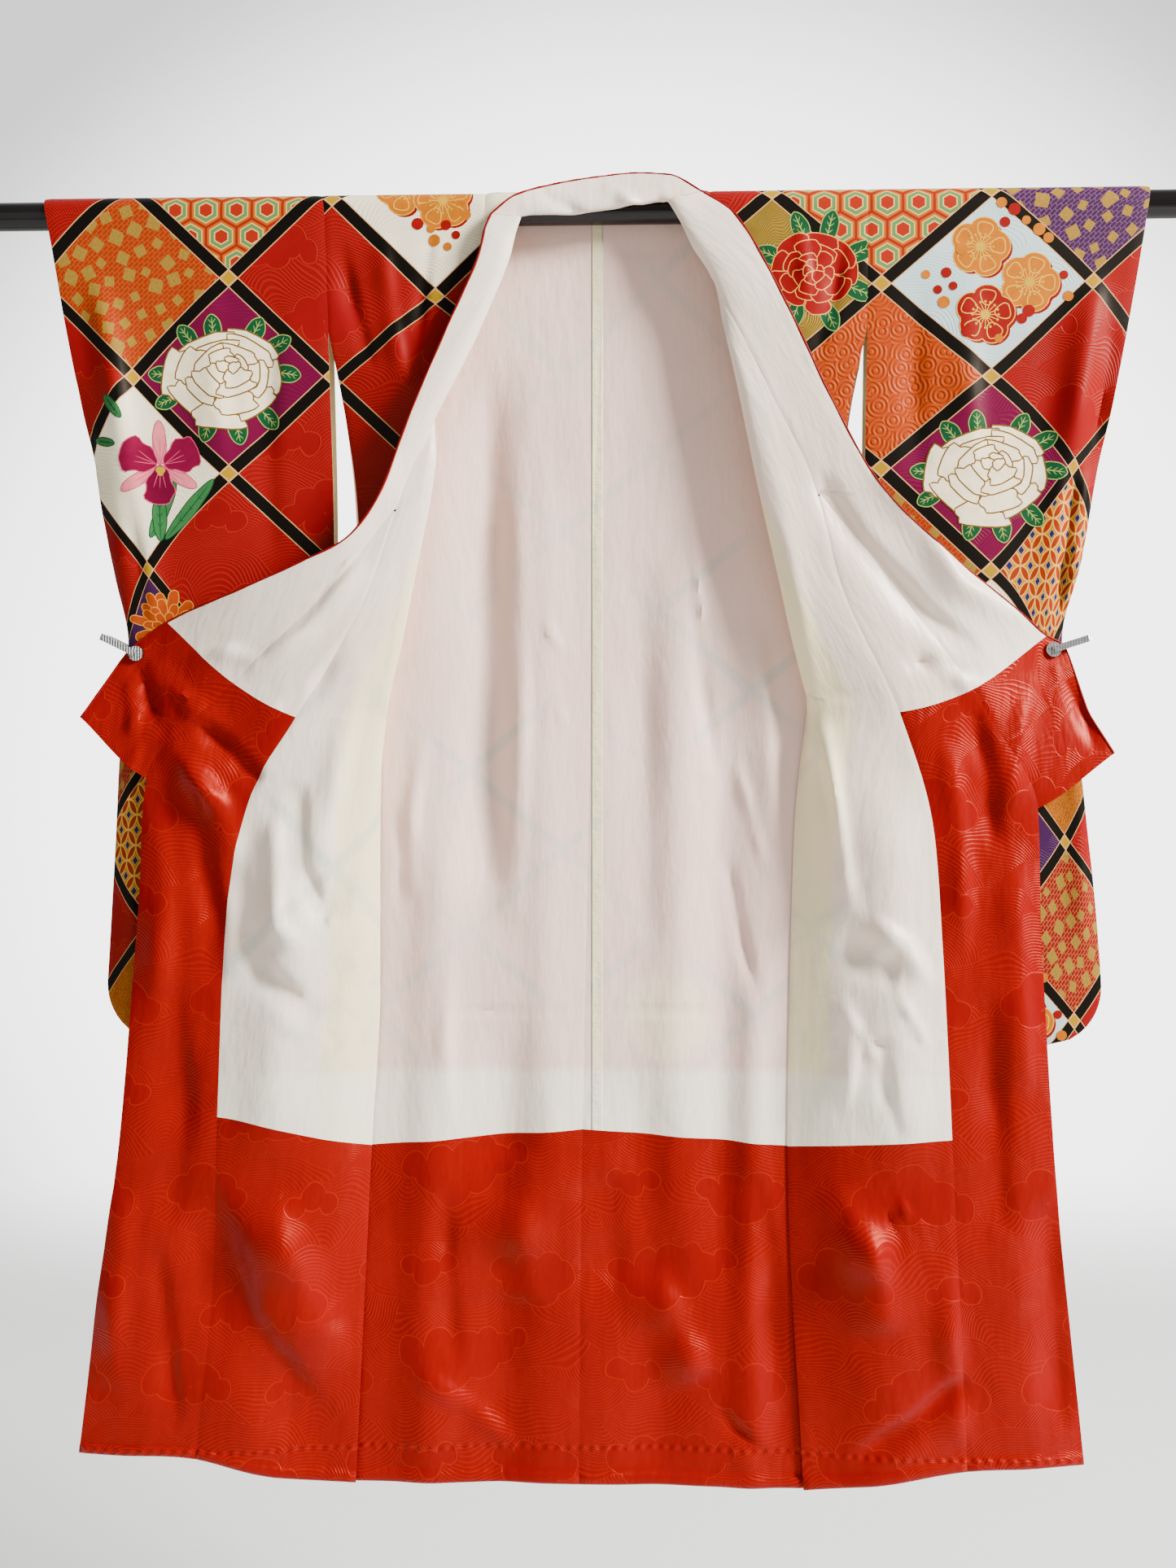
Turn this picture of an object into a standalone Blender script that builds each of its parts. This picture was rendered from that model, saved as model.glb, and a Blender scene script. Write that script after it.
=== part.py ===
"""A furisode, the long-sleeved kimono, hung on a round rod and shown from inside.

The two fronts are folded open over the sleeves and held there by clips. All cloth is hung as
sheets: a station runs down the garment from the shoulder (0) to the hem (27), and a section
across it passes side seam, rolled fold, front seam, overlap edge and collar edge in turn.
Every piece of cloth is a wall on one part of such a sheet, outer cloth behind its lining.

The rod's axis is the X axis, +X is the viewer's right, -Y is towards the viewer and +Z is up.
Sizes are in millimetres, and turned into metres where a mesh is made.
"""

import math
from collections import namedtuple

import bpy
import bmesh
import mathutils
import numpy as np
from mathutils.bvhtree import BVHTree

MM = 0.001

# Cloth thicknesses and gaps
OUTER_CLOTH = 1.2
LINING_CLOTH = 1.0
SEAM_GAP = 0.3
HALF_GAP = SEAM_GAP / 2
NECK_BORDER_GAP = 0.9
OUTER_WALL = (HALF_GAP, HALF_GAP + OUTER_CLOTH)
LINING_WALL = (-HALF_GAP - LINING_CLOTH, -HALF_GAP)

# The rod, and the cloth's middle layer where it lies round the rod
ROD_RADIUS = 17.0
ROD_LENGTH = 1520.0
ROD_SIDES = 48
WRAP_RADIUS = 19.8
COLLAR_WRAP_RADIUS = 21.5
TURNED_BACK_RADIUS = 26.5
COLLAR_RAMP = 12.0
ON_ROD = 0.05
WRAP_STATION_ANGLE = math.radians(30.0)
WRAP_END = 3
WRAP_ARC_STEP = WRAP_RADIUS * WRAP_STATION_ANGLE

# Stations where pieces of cloth begin and end
OKUMI_TIP = 10
RED_BORDER = 15
COLLAR_END = 18
WHITE_BORDER = 23
HEM = 27
ARMHOLE_END = 6
OKUMI_START = 10.2
LOWER_STATIONS = (10, 10.2, 11, 12, 13, 14, 15, 16, 17, 18, 20, 21.5, 23, 25)
FRONT_STATIONS = {
    "left": (0, 1, 2, 3, 4, 5, 6, 7, 7.5, 8, 8.5, 9) + LOWER_STATIONS,
    "right": (0, 1, 2, 3, 4, 4.5, 5, 5.5, 6, 7, 8, 9) + LOWER_STATIONS,
}
BACK_STATIONS = (0, 1, 2, 3, 4, 5, 6, 8, 10, 12, 15, 18, 21, 23, 25)

# How far a rolled hem edge stands proud of the lining (lo) and the outer cloth (hi)
HemRow = namedtuple("HemRow", "station low high")
ROLLED_HEM = (
    HemRow(26.2, -1.15, -0.15),
    HemRow(26.86, -1.15, -0.15),
    HemRow(26.93, -3.4, -0.15),
    HemRow(26.97, -3.9, 1.3),
    HemRow(27.0, -2.9, 0.4),
)
OUTER_HEM_ROWS = 3

# Columns of facets across each piece
FRONT_COLUMNS = 8
OKUMI_COLUMNS = 3
COLLAR_COLUMNS = 5
NECK_COLUMNS = 10
SHOULDER_COLUMNS = 4
SLEEVE_COLUMNS = 6
BEND_WEIGHT = 14.0
SAMPLES_PER_SPAN = 14

# The armhole seam: across, at the rod's top, beside the rod and at its lower end
ArmholeSeam = namedtuple("ArmholeSeam", "top beside_rod lower_end")
ARMHOLE = {"left": ArmholeSeam(-325.0, -320.0, -315.0), "right": ArmholeSeam(330.0, 329.0, 328.5)}
ARMHOLE_DROP = 148.0
ARMHOLE_DEPTH = 18.0

Knot = namedtuple("Knot", "station across depth height")

# The free and seamed side edge of the front below the armhole
SIDE = {
    "left": (
        Knot(6, -315, -18, -148),
        Knot(8, -296, -11, -246),
        Knot(10, -285, 1, -333),
        Knot(12, -278, 9, -450),
        Knot(15, -255, 10, -634),
        Knot(18, -257, 10, -766),
        Knot(21, -257, 10, -947),
        Knot(23, -267, 10, -1129),
        Knot(27, -286, 6, -1538),
    ),
    "right": (
        Knot(6, 328.5, -18, -148),
        Knot(8, 310, -11, -232),
        Knot(10, 296, 1, -330),
        Knot(12, 279, 9, -447),
        Knot(15, 260, 10, -600),
        Knot(18, 245, 10, -736),
        Knot(21, 239, 10, -942),
        Knot(23, 236, 10, -1127),
        Knot(27, 255, 6, -1540),
    ),
}

# The rolled fold where the front turns back on itself, and below it the crest of a soft bulge
ROLL = {
    "left": (
        Knot(0, -83, -31, -16),
        Knot(3, -90, -31, -37),
        Knot(4, -96, -30, -62),
        Knot(6, -131, -31, -148),
        Knot(8, -175, -33, -250),
        Knot(10, -190, -35, -349),
        Knot(12, -212, -29, -454),
        Knot(13, -226, -23, -520),
        Knot(14, -241, -14, -578),
        Knot(15, -251, -8, -628),
        Knot(16, -259, -12, -687),
        Knot(18, -274, -18, -765),
        Knot(20, -293, -24, -872),
        Knot(23, -318, -18, -1117),
        Knot(27, -380, -4, -1528),
    ),
    "right": (
        Knot(0, 93, -30, 0),
        Knot(3, 108, -30, -26),
        Knot(4, 123, -30, -58),
        Knot(5, 143, -31, -95),
        Knot(7, 166, -33, -183),
        Knot(10, 199, -35, -342),
        Knot(12, 223, -30, -447),
        Knot(13, 237, -23, -509),
        Knot(14, 250, -15, -559),
        Knot(15, 262, -10, -602),
        Knot(16, 269, -16, -642),
        Knot(18, 302, -26, -758),
        Knot(20, 307, -26, -870),
        Knot(23, 304, -16, -1120),
        Knot(27, 335, -2, -1529),
    ),
}

# The front panel's inner seam: to the collar above the overlap's tip, to the overlap below it
FRONT_SEAM = {
    "left": (
        Knot(3, -126.5, -19.8, 0),
        Knot(4, -132, -21, -46),
        Knot(5, -165, -22, -89),
        Knot(6, -193, -23, -148),
        Knot(7, -202, -26, -202),
        Knot(8, -177, -33, -250),
        Knot(9, -205, -42, -302),
        Knot(10, -226, -47, -358),
        Knot(12, -265, -46, -468),
        Knot(15, -350, -39, -611),
        Knot(18, -404, -34, -702),
        Knot(20, -435, -32, -842),
        Knot(23, -447, -26, -1089),
        Knot(25, -458, -16, -1316),
        Knot(27, -476, -12, -1504),
    ),
    "right": (
        Knot(3, 142, -19.8, 0),
        Knot(4, 142, -23, -54),
        Knot(5, 143, -31, -95),
        Knot(6, 172, -39, -149),
        Knot(8, 215, -43, -236),
        Knot(10, 264, -46, -342),
        Knot(12, 295, -46, -460),
        Knot(15, 363, -40, -606),
        Knot(18, 404, -34, -749),
        Knot(20, 414, -32, -879),
        Knot(23, 427, -24, -1111),
        Knot(27, 448, -8, -1509),
    ),
}

# The overlap's outer edge: the collar seam down to the collar's end, then a free edge
OKUMI_EDGE = {
    "left": (
        Knot(10, -226, -47, -358),
        Knot(12, -301, -50, -453),
        Knot(14, -394, -40, -540),
        Knot(15, -426, -34, -570),
        Knot(16, -468, -28, -609),
        Knot(18, -533, -26, -683),
        Knot(20, -542, -24, -829),
        Knot(23, -565, -18, -1102),
        Knot(25, -597, -10, -1319),
        Knot(27, -621, -6, -1501),
    ),
    "right": (
        Knot(10, 264, -46, -342),
        Knot(12, 338, -50, -433),
        Knot(14, 416, -44, -535),
        Knot(15, 449, -36, -579),
        Knot(16, 475, -32, -623),
        Knot(18, 526, -30, -719),
        Knot(20, 531, -26, -869),
        Knot(23, 546, -18, -1110),
        Knot(27, 587, -2, -1501),
    ),
}

# The collar's free edge
COLLAR_EDGE = {
    "left": (
        Knot(0, -117, -37, -15),
        Knot(3, -124, -40, -33),
        Knot(4, -130, -41, -60),
        Knot(6, -170, -45, -154),
        Knot(8, -213, -50, -256),
        Knot(10, -247, -58, -350),
        Knot(11, -286, -60, -402),
        Knot(12, -338, -56, -428),
        Knot(13, -410, -46, -458),
        Knot(15, -510, -18, -496),
        Knot(16, -555, -9, -526),
        Knot(17, -591, -16, -577),
        Knot(18, -613, -24, -611),
    ),
    "right": (
        Knot(0, 132, -26, 12),
        Knot(3, 165, -34, -12),
        Knot(4, 191, -40, -50),
        Knot(6, 239, -44, -145),
        Knot(8, 281, -48, -237),
        Knot(10, 339, -54, -343),
        Knot(12, 411, -52, -416),
        Knot(14, 500, -32, -485),
        Knot(15, 540, -14, -515),
        Knot(16, 560, -9, -525),
        Knot(17, 587, -16, -602),
        Knot(18, 616, -24, -655),
    ),
}

# Half the depth of the rolled fold
RollSize = namedtuple("RollSize", "station half_depth")
ROLL_SIZES = (RollSize(0, 6.0), RollSize(8, 8.5), RollSize(12, 9.0), RollSize(14, 6.0), RollSize(15, 0.0))
SMALLEST_ROLL = 2.0
ROLL_INSET = 0.9
SEAM_NEAR_ROLL = 2.2

# The station where the collar seam passes from the outside, over the fold, to the inside
SEAM_CROSSING = {"left": 8.0, "right": 5.0}

# The back: its centre seam, how deep its side edges lie, and how far its rows rise at the centre
CENTRE_SEAM = (
    Knot(4, 12, 19, -46),
    Knot(6, 10, 18, -148),
    Knot(8, 7, 17, -239),
    Knot(10, 4, 16, -332),
    Knot(12, 1, 16, -448),
    Knot(15, -2, 16, -616),
    Knot(18, -4, 15, -751),
    Knot(21, -8, 15, -945),
    Knot(23, -11, 15, -1109),
    Knot(25, -14, 14, -1322),
    Knot(27, -15, 12, -1539),
)
BackEdge = namedtuple("BackEdge", "station depth")
BACK_EDGE_DEPTH = (
    BackEdge(6, 18.0),
    BackEdge(8, 16.0),
    BackEdge(10, 14.0),
    BackEdge(15, 13.3),
    BackEdge(27, 12.3),
)
BACK_WRAP_END = 4
EVEN_COLUMNS_FROM = 8

# The neckline: how far across it reaches, its dip down the back, and where its columns stand
NECK_END = {"left": -126.5, "right": 142.0}
NECK_CENTRE = 12.0
NECK_DIP = 38.0
NECK_DIP_POWER = 0.7
NECK_PARTS = (0, 0.33, 0.58, 0.77, 0.9, 1)
BACK_COLUMNS = len(NECK_PARTS) - 1 + SHOULDER_COLUMNS

# The collar behind the neck, with its place along the neckline as the first number
NECK_ROLL = (
    Knot(-126.5, -83, -31, -16),
    Knot(-104, -68, -31, -14),
    Knot(-58, -34, -30, -13),
    Knot(2, 9, -30, -9),
    Knot(62, 57, -29, -2),
    Knot(110, 81, -27, 3),
    Knot(142, 93, -30, 0),
)
NECK_EDGE = (
    Knot(-126.5, -117, -37, -15),
    Knot(-104, -91, -33, 7),
    Knot(-58, -52, -23, 22),
    Knot(2, 2, -12, 35),
    Knot(62, 56, -6, 42),
    Knot(110, 95, -10, 38),
    Knot(142, 132, -26, 12),
)
NECK_HALF_DEPTH = 5.0
OVER_ROD_FROM_DIP = 6.0

# Sleeves: height of each row's station, the outer edge, half the gap between the layers
SLEEVE_BOTTOM = -1003.0
SLEEVE_CORNER_RADIUS = 75.0
SLEEVE_HEIGHTS = (-50, -100, -148, -240, -340, -440, -535, -640, -750, -860, -925, -960, -985, -1003)
CUFF_OPEN_TO = -240.0
CUFF_CLOSED_BELOW = -320.0
CLOSED_HALF = 1.9
BOTTOM_CLOSING = 70.0
SleeveRow = namedtuple("SleeveRow", "height across")
SLEEVE_OUTER = {
    "left": (
        SleeveRow(19, -662),
        SleeveRow(-34, -652),
        SleeveRow(-132, -635),
        SleeveRow(-264, -610),
        SleeveRow(-349, -597),
        SleeveRow(-439, -578),
        SleeveRow(-520, -562),
        SleeveRow(-659, -572),
        SleeveRow(-789, -579),
        SleeveRow(-1003, -592),
    ),
    "right": (
        SleeveRow(19, 662),
        SleeveRow(-34, 654),
        SleeveRow(-124, 639),
        SleeveRow(-227, 620),
        SleeveRow(-330, 600),
        SleeveRow(-416, 585),
        SleeveRow(-520, 561),
        SleeveRow(-678, 582),
        SleeveRow(-853, 602),
        SleeveRow(-1003, 612),
    ),
}
SLEEVE_INNER = {
    "left": (SleeveRow(-148, -315), SleeveRow(-412, -309), SleeveRow(-1003, -309)),
    "right": (SleeveRow(-148, 328.5), SleeveRow(-318, 326), SleeveRow(-1003, 326)),
}
SleeveGap = namedtuple("SleeveGap", "height half")
SLEEVE_HALF_GAPS = (
    SleeveGap(0, 19.8),
    SleeveGap(-148, 18.0),
    SleeveGap(-340, 14.0),
    SleeveGap(-535, 10.0),
    SleeveGap(-860, 7.0),
    SleeveGap(-1003, 5.0),
)

# Large soft folds: from one end to the other, how wide, and how far towards the viewer
Fold = namedtuple("Fold", "x0 z0 x1 z1 width rise")
SLEEVE_FOLDS = {
    "left": (Fold(-590, -90, -540, -480, 24, 9), Fold(-450, -260, -470, -900, 60, 2.5)),
    "right": (Fold(590, -120, 548, -480, 24, 9), Fold(450, -260, 480, -900, 60, 2.5)),
}
FRONT_FOLDS = {
    "left": (
        Fold(-330, -690, -390, -1130, 42, 15),
        Fold(-470, -560, -470, -760, 22, 7),
        Fold(-530, -560, -500, -640, 15, 5),
        Fold(-400, -1180, -420, -1560, 55, 9),
        Fold(-540, -900, -560, -1560, 50, 6),
    ),
    "right": (
        Fold(345, -700, 372, -1140, 40, 12),
        Fold(455, -330, 330, -240, 26, 6),
        Fold(470, -560, 500, -760, 22, 6),
        Fold(360, -1190, 350, -1560, 55, 9),
        Fold(505, -900, 520, -1560, 45, 6),
    ),
}
BACK_FOLDS = (
    Fold(-118, -190, -128, -860, 26, -8),
    Fold(-62, -330, -50, -1250, 30, 6),
    Fold(108, -420, 96, -1250, 28, 7),
    Fold(165, -560, 160, -1300, 26, -7),
    Fold(-185, -740, -200, -1560, 30, 9),
    Fold(-105, -980, -110, -1560, 34, -9),
    Fold(75, -1050, 80, -1560, 38, -8),
    Fold(205, -900, 190, -1560, 26, 8),
)
FOLD_END_TAPER = 120.0
FOLD_END_PART = 0.35
FOLD_EDGE_PART = 0.2
FOLD_START_STATIONS = 2

# Clips: jaw pad centre and outer end, as across and height
Clip = namedtuple("Clip", "jaw_x jaw_z end_x end_z")
CLIPS = {"left": Clip(-549.0, -533.0, -592.0, -512.0), "right": Clip(548.0, -531.0, 592.0, -517.0)}
CLIP_PAD_RADIUS = 9.0
CLIP_PAD_THICK = 2.4
CLIP_ARM_WIDTH = 8.0
CLIP_ARM_THICK = 3.2
CLIP_GAP = 0.35
CLIP_PAD_SIDES = 20
CLIP_PAD_SINK = 0.3
CLIP_OUTER_BEND = 4.0
CLIP_INNER_BEND = 2.0
RAY_START = 300.0
CLIP_PROBES = 12

# Colours, as red, green, blue, roughness and metallic
Finish = namedtuple("Finish", "red green blue roughness metallic")
FINISHES = {
    "outer_cloth": Finish(0.62, 0.045, 0.025, 0.5, 0.0),
    "white_lining": Finish(0.84, 0.76, 0.71, 0.5, 0.0),
    "red_lining": Finish(0.68, 0.02, 0.008, 0.38, 0.0),
    "black_lacquer": Finish(0.012, 0.011, 0.014, 0.16, 0.0),
    "clip_metal": Finish(0.62, 0.62, 0.6, 0.25, 1.0),
}


# Curves through the tables' rows


def end_free_slopes(stations, values):
    """Slopes of a curve through the values that never swings past them."""
    steps = np.diff(stations)
    rises = np.diff(values) / steps
    slopes = np.zeros(len(values))
    slopes[0] = rises[0]
    slopes[-1] = rises[-1]
    for i in range(1, len(values) - 1):
        before = rises[i - 1]
        after = rises[i]
        if before * after > 0:
            slopes[i] = 2 * before * after / (before + after)
    return slopes


class Curve:
    """A smooth value, or row of values, along a table's first column."""

    def __init__(self, rows):
        table = np.array([tuple(row) for row in rows], dtype=float)
        table = table[np.argsort(table[:, 0])]
        self.stations = table[:, 0]
        self.values = table[:, 1:]
        columns = [end_free_slopes(self.stations, column) for column in self.values.T]
        self.slopes = np.array(columns).T

    def at(self, station):
        station = min(max(station, self.stations[0]), self.stations[-1])
        i = int(np.searchsorted(self.stations, station, side="right")) - 1
        i = min(max(i, 0), len(self.stations) - 2)
        step = self.stations[i + 1] - self.stations[i]
        t = (station - self.stations[i]) / step
        a, b = self.values[i], self.values[i + 1]
        u, v = self.slopes[i] * step, self.slopes[i + 1] * step
        blend = t * t * (3 - 2 * t)
        value = a * (1 - blend) + b * blend + u * t * (1 - t) ** 2 - v * t * t * (1 - t)
        return value


def through_points(points):
    """A dense smooth path through points, and the dense index of each point."""
    points = np.array(points)
    ends = np.vstack([2 * points[0] - points[1], points, 2 * points[-1] - points[-2]])
    knots = np.concatenate([[0.0], np.cumsum(np.sqrt(np.linalg.norm(np.diff(ends, axis=0), axis=1)))])
    dense = []
    for i in range(1, len(ends) - 2):
        t0, t1, t2, t3 = knots[i - 1 : i + 3]
        p0, p1, p2, p3 = ends[i - 1 : i + 3]
        for t in np.linspace(t1, t2, SAMPLES_PER_SPAN, endpoint=False):
            a1 = (t1 - t) / (t1 - t0) * p0 + (t - t0) / (t1 - t0) * p1
            a2 = (t2 - t) / (t2 - t1) * p1 + (t - t1) / (t2 - t1) * p2
            a3 = (t3 - t) / (t3 - t2) * p2 + (t - t2) / (t3 - t2) * p3
            b1 = (t2 - t) / (t2 - t0) * a1 + (t - t0) / (t2 - t0) * a2
            b2 = (t3 - t) / (t3 - t1) * a2 + (t - t1) / (t3 - t1) * a3
            dense.append((t2 - t) / (t2 - t1) * b1 + (t - t1) / (t2 - t1) * b2)
    dense.append(points[-1])
    return np.array(dense), [i * SAMPLES_PER_SPAN for i in range(len(points))]


# Where the cloth lies


def round_rod(across, arc, facing):
    """A point on the cloth's middle layer, arc mm down from the rod's top, to the front or back."""
    quarter = WRAP_RADIUS * math.pi / 2
    if arc < quarter:
        angle = arc / WRAP_RADIUS
        return np.array([across, facing * WRAP_RADIUS * math.sin(angle), WRAP_RADIUS * math.cos(angle)])
    return np.array([across, facing * WRAP_RADIUS, quarter - arc])


def armhole_seam(side, station, facing):
    """The seam between body and sleeve, from the rod's top to the armhole's lower end."""
    seam = ARMHOLE[side]
    if station <= WRAP_END:
        across = seam.top + (seam.beside_rod - seam.top) * station / WRAP_END
        return round_rod(across, station * WRAP_ARC_STEP, facing)
    part = (station - WRAP_END) / (ARMHOLE_END - WRAP_END)
    return armhole_below_rod(side, -ARMHOLE_DROP * part, facing)


def armhole_below_rod(side, height, facing):
    seam = ARMHOLE[side]
    part = -height / ARMHOLE_DROP
    across = seam.beside_rod + (seam.lower_end - seam.beside_rod) * part
    depth = WRAP_RADIUS + (ARMHOLE_DEPTH - WRAP_RADIUS) * part
    return np.array([across, facing * depth, height])


def front_side(side, station):
    if station <= ARMHOLE_END:
        return armhole_seam(side, station, -1)
    return SIDE_CURVE[side].at(station)


def front_seam(side, station):
    if station < WRAP_END:
        return round_rod(NECK_END[side], station * WRAP_ARC_STEP, -1)
    return SEAM_CURVE[side].at(station)


def fold_rise(folds, x, z):
    """How far the large folds bring a point of the cloth towards the viewer."""
    total = 0.0
    for fold in folds:
        run = np.array([fold.x1 - fold.x0, fold.z1 - fold.z0])
        length = float(np.hypot(*run))
        way = run / length
        offset = np.array([x - fold.x0, z - fold.z0])
        along = float(offset @ way)
        beside = float(offset[0] * way[1] - offset[1] * way[0])
        taper = min(1.0, max(0.0, min(along, length - along) / FOLD_END_TAPER + FOLD_END_PART))
        taper = taper * taper * (3 - 2 * taper)
        total += fold.rise * taper * math.exp(-((beside / fold.width) ** 2))
    return total


def kept_off_rod(path, seam_index, roll_index):
    """Moves a section's points out of the rod: the body's, then the collar's, then the part turned back."""
    steps = np.linalg.norm(np.diff(path, axis=0), axis=1)
    run = np.concatenate([[0.0], np.cumsum(steps)])
    past_seam = np.clip((run - run[seam_index]) / COLLAR_RAMP, 0, 1)
    past_roll = np.clip((run - run[roll_index]) / COLLAR_RAMP, 0, 1)
    least = WRAP_RADIUS + (COLLAR_WRAP_RADIUS - WRAP_RADIUS) * past_seam
    least += (TURNED_BACK_RADIUS - COLLAR_WRAP_RADIUS) * past_roll
    radius = np.hypot(path[:, 1], path[:, 2])
    moved = path.copy()
    moved[:, 1:] *= np.maximum(1.0, least / radius)[:, None]
    return moved


def roll_points(before, roll, after, half_depth):
    """The three points that turn the cloth back on itself at a rolled fold."""
    inward = (before + after) / 2 - roll
    inward /= np.linalg.norm(inward)
    open_way = before - after
    open_way -= inward * (open_way @ inward)
    open_way /= np.linalg.norm(open_way)
    near = roll + inward * half_depth * ROLL_INSET
    return [near + open_way * half_depth, roll, near - open_way * half_depth]


def nearest_index(path, point):
    return int(np.argmin(np.linalg.norm(path - point, axis=1)))


def section(side, station):
    """One section across a front: its dense path, and the path's index at each line."""
    start = front_side(side, station)
    roll = ROLL_CURVE[side].at(station)
    seam = front_seam(side, station)
    half_depth = float(ROLL_SIZE_CURVE.at(station)[0])
    beyond = []
    if station > OKUMI_TIP:
        beyond.append(("okumi", OKUMI_CURVE[side].at(station)))
    if station <= COLLAR_END:
        beyond.append(("free", EDGE_CURVE[side].at(station)))
    seam_first = station < SEAM_CROSSING[side]
    before = seam if seam_first else start
    after = beyond[0][1] if seam_first else seam
    near_roll = np.linalg.norm(seam - roll) < SEAM_NEAR_ROLL * max(half_depth, SMALLEST_ROLL)
    if near_roll:
        before = start
        after = beyond[0][1]
    vias = [("side", start)]
    if seam_first and not near_roll:
        vias.append(("seam", seam))
    if half_depth > SMALLEST_ROLL:
        vias += [("roll", point) for point in roll_points(before, roll, after, half_depth)]
    else:
        vias.append(("roll", roll))
    if not seam_first and not near_roll:
        vias.append(("seam", seam))
    vias += beyond
    path, indices = through_points([point for _, point in vias])
    marks = {name: index for (name, _), index in zip(vias, indices)}
    if near_roll:
        marks["seam"] = nearest_index(path, seam)
    roll_index = marks["roll"]
    path = kept_off_rod(path, marks["seam"], roll_index)
    if station < WRAP_END:
        shoulder = np.linspace(0, 1, marks["seam"] + 1)[:, None]
        path[: marks["seam"] + 1] = start + (seam - start) * shoulder
    for i in range(roll_index, len(path)):
        settled = min(1.0, (i - roll_index) / SAMPLES_PER_SPAN)
        if station > RED_BORDER:
            settled = min(1.0, i / SAMPLES_PER_SPAN)
        path[i, 1] -= settled * fold_rise(FRONT_FOLDS[side], path[i, 0], path[i, 2])
    return path, marks


def neckline_dip(across):
    """How far down its back the neckline lies from the rod's top, along the cloth."""
    middle = (NECK_END["left"] + NECK_END["right"]) / 2
    half = (NECK_END["right"] - NECK_END["left"]) / 2
    part = min(1.0, abs(across - middle) / half)
    return NECK_DIP * (1 - part * part) ** NECK_DIP_POWER


def neck_section(across):
    """One section of the collar behind the neck, from its seam, over the rod, to its free edge."""
    dip = neckline_dip(across)
    seam = round_rod(across, dip, 1)
    roll = NECK_ROLL_CURVE.at(across)
    free = NECK_EDGE_CURVE.at(across)
    vias = [seam]
    if dip > OVER_ROD_FROM_DIP:
        vias.append(np.array([(across + roll[0]) / 2, -2.0, COLLAR_WRAP_RADIUS]))
    vias += roll_points(vias[-1], roll, free, NECK_HALF_DEPTH) + [free]
    path, indices = through_points(vias)
    return kept_off_rod(path, 0, indices[-3])


def columns_between(path, first, last, count):
    """Points and tangents at count + 1 places along a path, closer together where it bends."""
    ways = np.gradient(path, axis=0)
    ways /= np.maximum(np.linalg.norm(ways, axis=1, keepdims=True), 1e-9)
    part = path[first : last + 1]
    ways = ways[first : last + 1]
    lengths = np.linalg.norm(np.diff(part, axis=0), axis=1)
    bends = np.arccos(np.clip(np.sum(ways[1:] * ways[:-1], axis=1), -1, 1))
    weights = np.concatenate([[0.0], np.cumsum(lengths + BEND_WEIGHT * bends)])
    places = np.linspace(0, weights[-1], count + 1)
    points = np.array([np.interp(places, weights, part[:, axis]) for axis in range(3)]).T
    tangents = np.array([np.interp(places, weights, ways[:, axis]) for axis in range(3)]).T
    return points, tangents


class Sheet:
    """Points on the cloth's middle layer and the way its outer face looks at each of them.

    Where falling is set, the two halves of each facet meet along its other diagonal.
    """

    def __init__(self, places, rows, tangents, flip, falling=False):
        self.falling = falling
        self.border_gap = HALF_GAP
        self.points = np.array(rows)
        along = np.gradient(self.points, np.array(places, float), axis=0, edge_order=2)
        normals = np.cross(np.array(tangents), along) * flip
        self.normals = normals / np.linalg.norm(normals, axis=2, keepdims=True)
        self.look_away_from_rod()

    def look_away_from_rod(self):
        """Where the cloth lies on the rod, its outer face looks straight away from it."""
        depth, height = self.points[..., 1], self.points[..., 2]
        over = (height >= 0) & (np.abs(np.hypot(depth, height) - WRAP_RADIUS) < ON_ROD)
        beside = (height < 0) & (height > -ROD_RADIUS) & (np.abs(np.abs(depth) - WRAP_RADIUS) < ON_ROD)
        away = np.stack([depth * 0, depth, np.maximum(height, 0)], axis=-1) / WRAP_RADIUS
        touching = over | beside
        self.normals[touching] = away[touching]


def front_sheet(side, stations, first, last, count):
    """A piece of a front, between two lines of its sections."""
    rows, tangents = [], []
    for station in stations:
        path, marks = section(side, station)
        points, ways = columns_between(path, marks[first], marks[last], count)
        rows.append(points)
        tangents.append(ways)
    return Sheet(stations, rows, tangents, -1 if side == "left" else 1)


def neck_columns():
    """Where the neckline's columns stand, from its left end to its right end."""
    places = [NECK_CENTRE + (NECK_END["left"] - NECK_CENTRE) * part for part in reversed(NECK_PARTS)]
    return places + [NECK_CENTRE + (NECK_END["right"] - NECK_CENTRE) * part for part in NECK_PARTS[1:]]


def neck_sheet():
    """The collar behind the neck. Its end rows are the first rows of the collar's two sides."""
    rows, tangents = [], []
    places = neck_columns()
    for across in places:
        path = neck_section(across)
        points, ways = columns_between(path, 0, len(path) - 1, NECK_COLUMNS)
        rows.append(points)
        tangents.append(ways)
    ends = [collar_sheet(side, FRONT_STATIONS[side][:3], NECK_COLUMNS) for side in ("left", "right")]
    rows[0], rows[-1] = [end.points[0] for end in ends]
    sheet = Sheet(places, rows, tangents, 1)
    sheet.border_gap = NECK_BORDER_GAP
    sheet.normals[0], sheet.normals[-1] = [end.normals[0] for end in ends]
    return sheet


def back_edge(side, station):
    if station <= ARMHOLE_END:
        return armhole_seam(side, station, 1)
    edge = SIDE_CURVE[side].at(station)
    edge[1] = BACK_DEPTH_CURVE.at(station)[0]
    return edge


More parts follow.
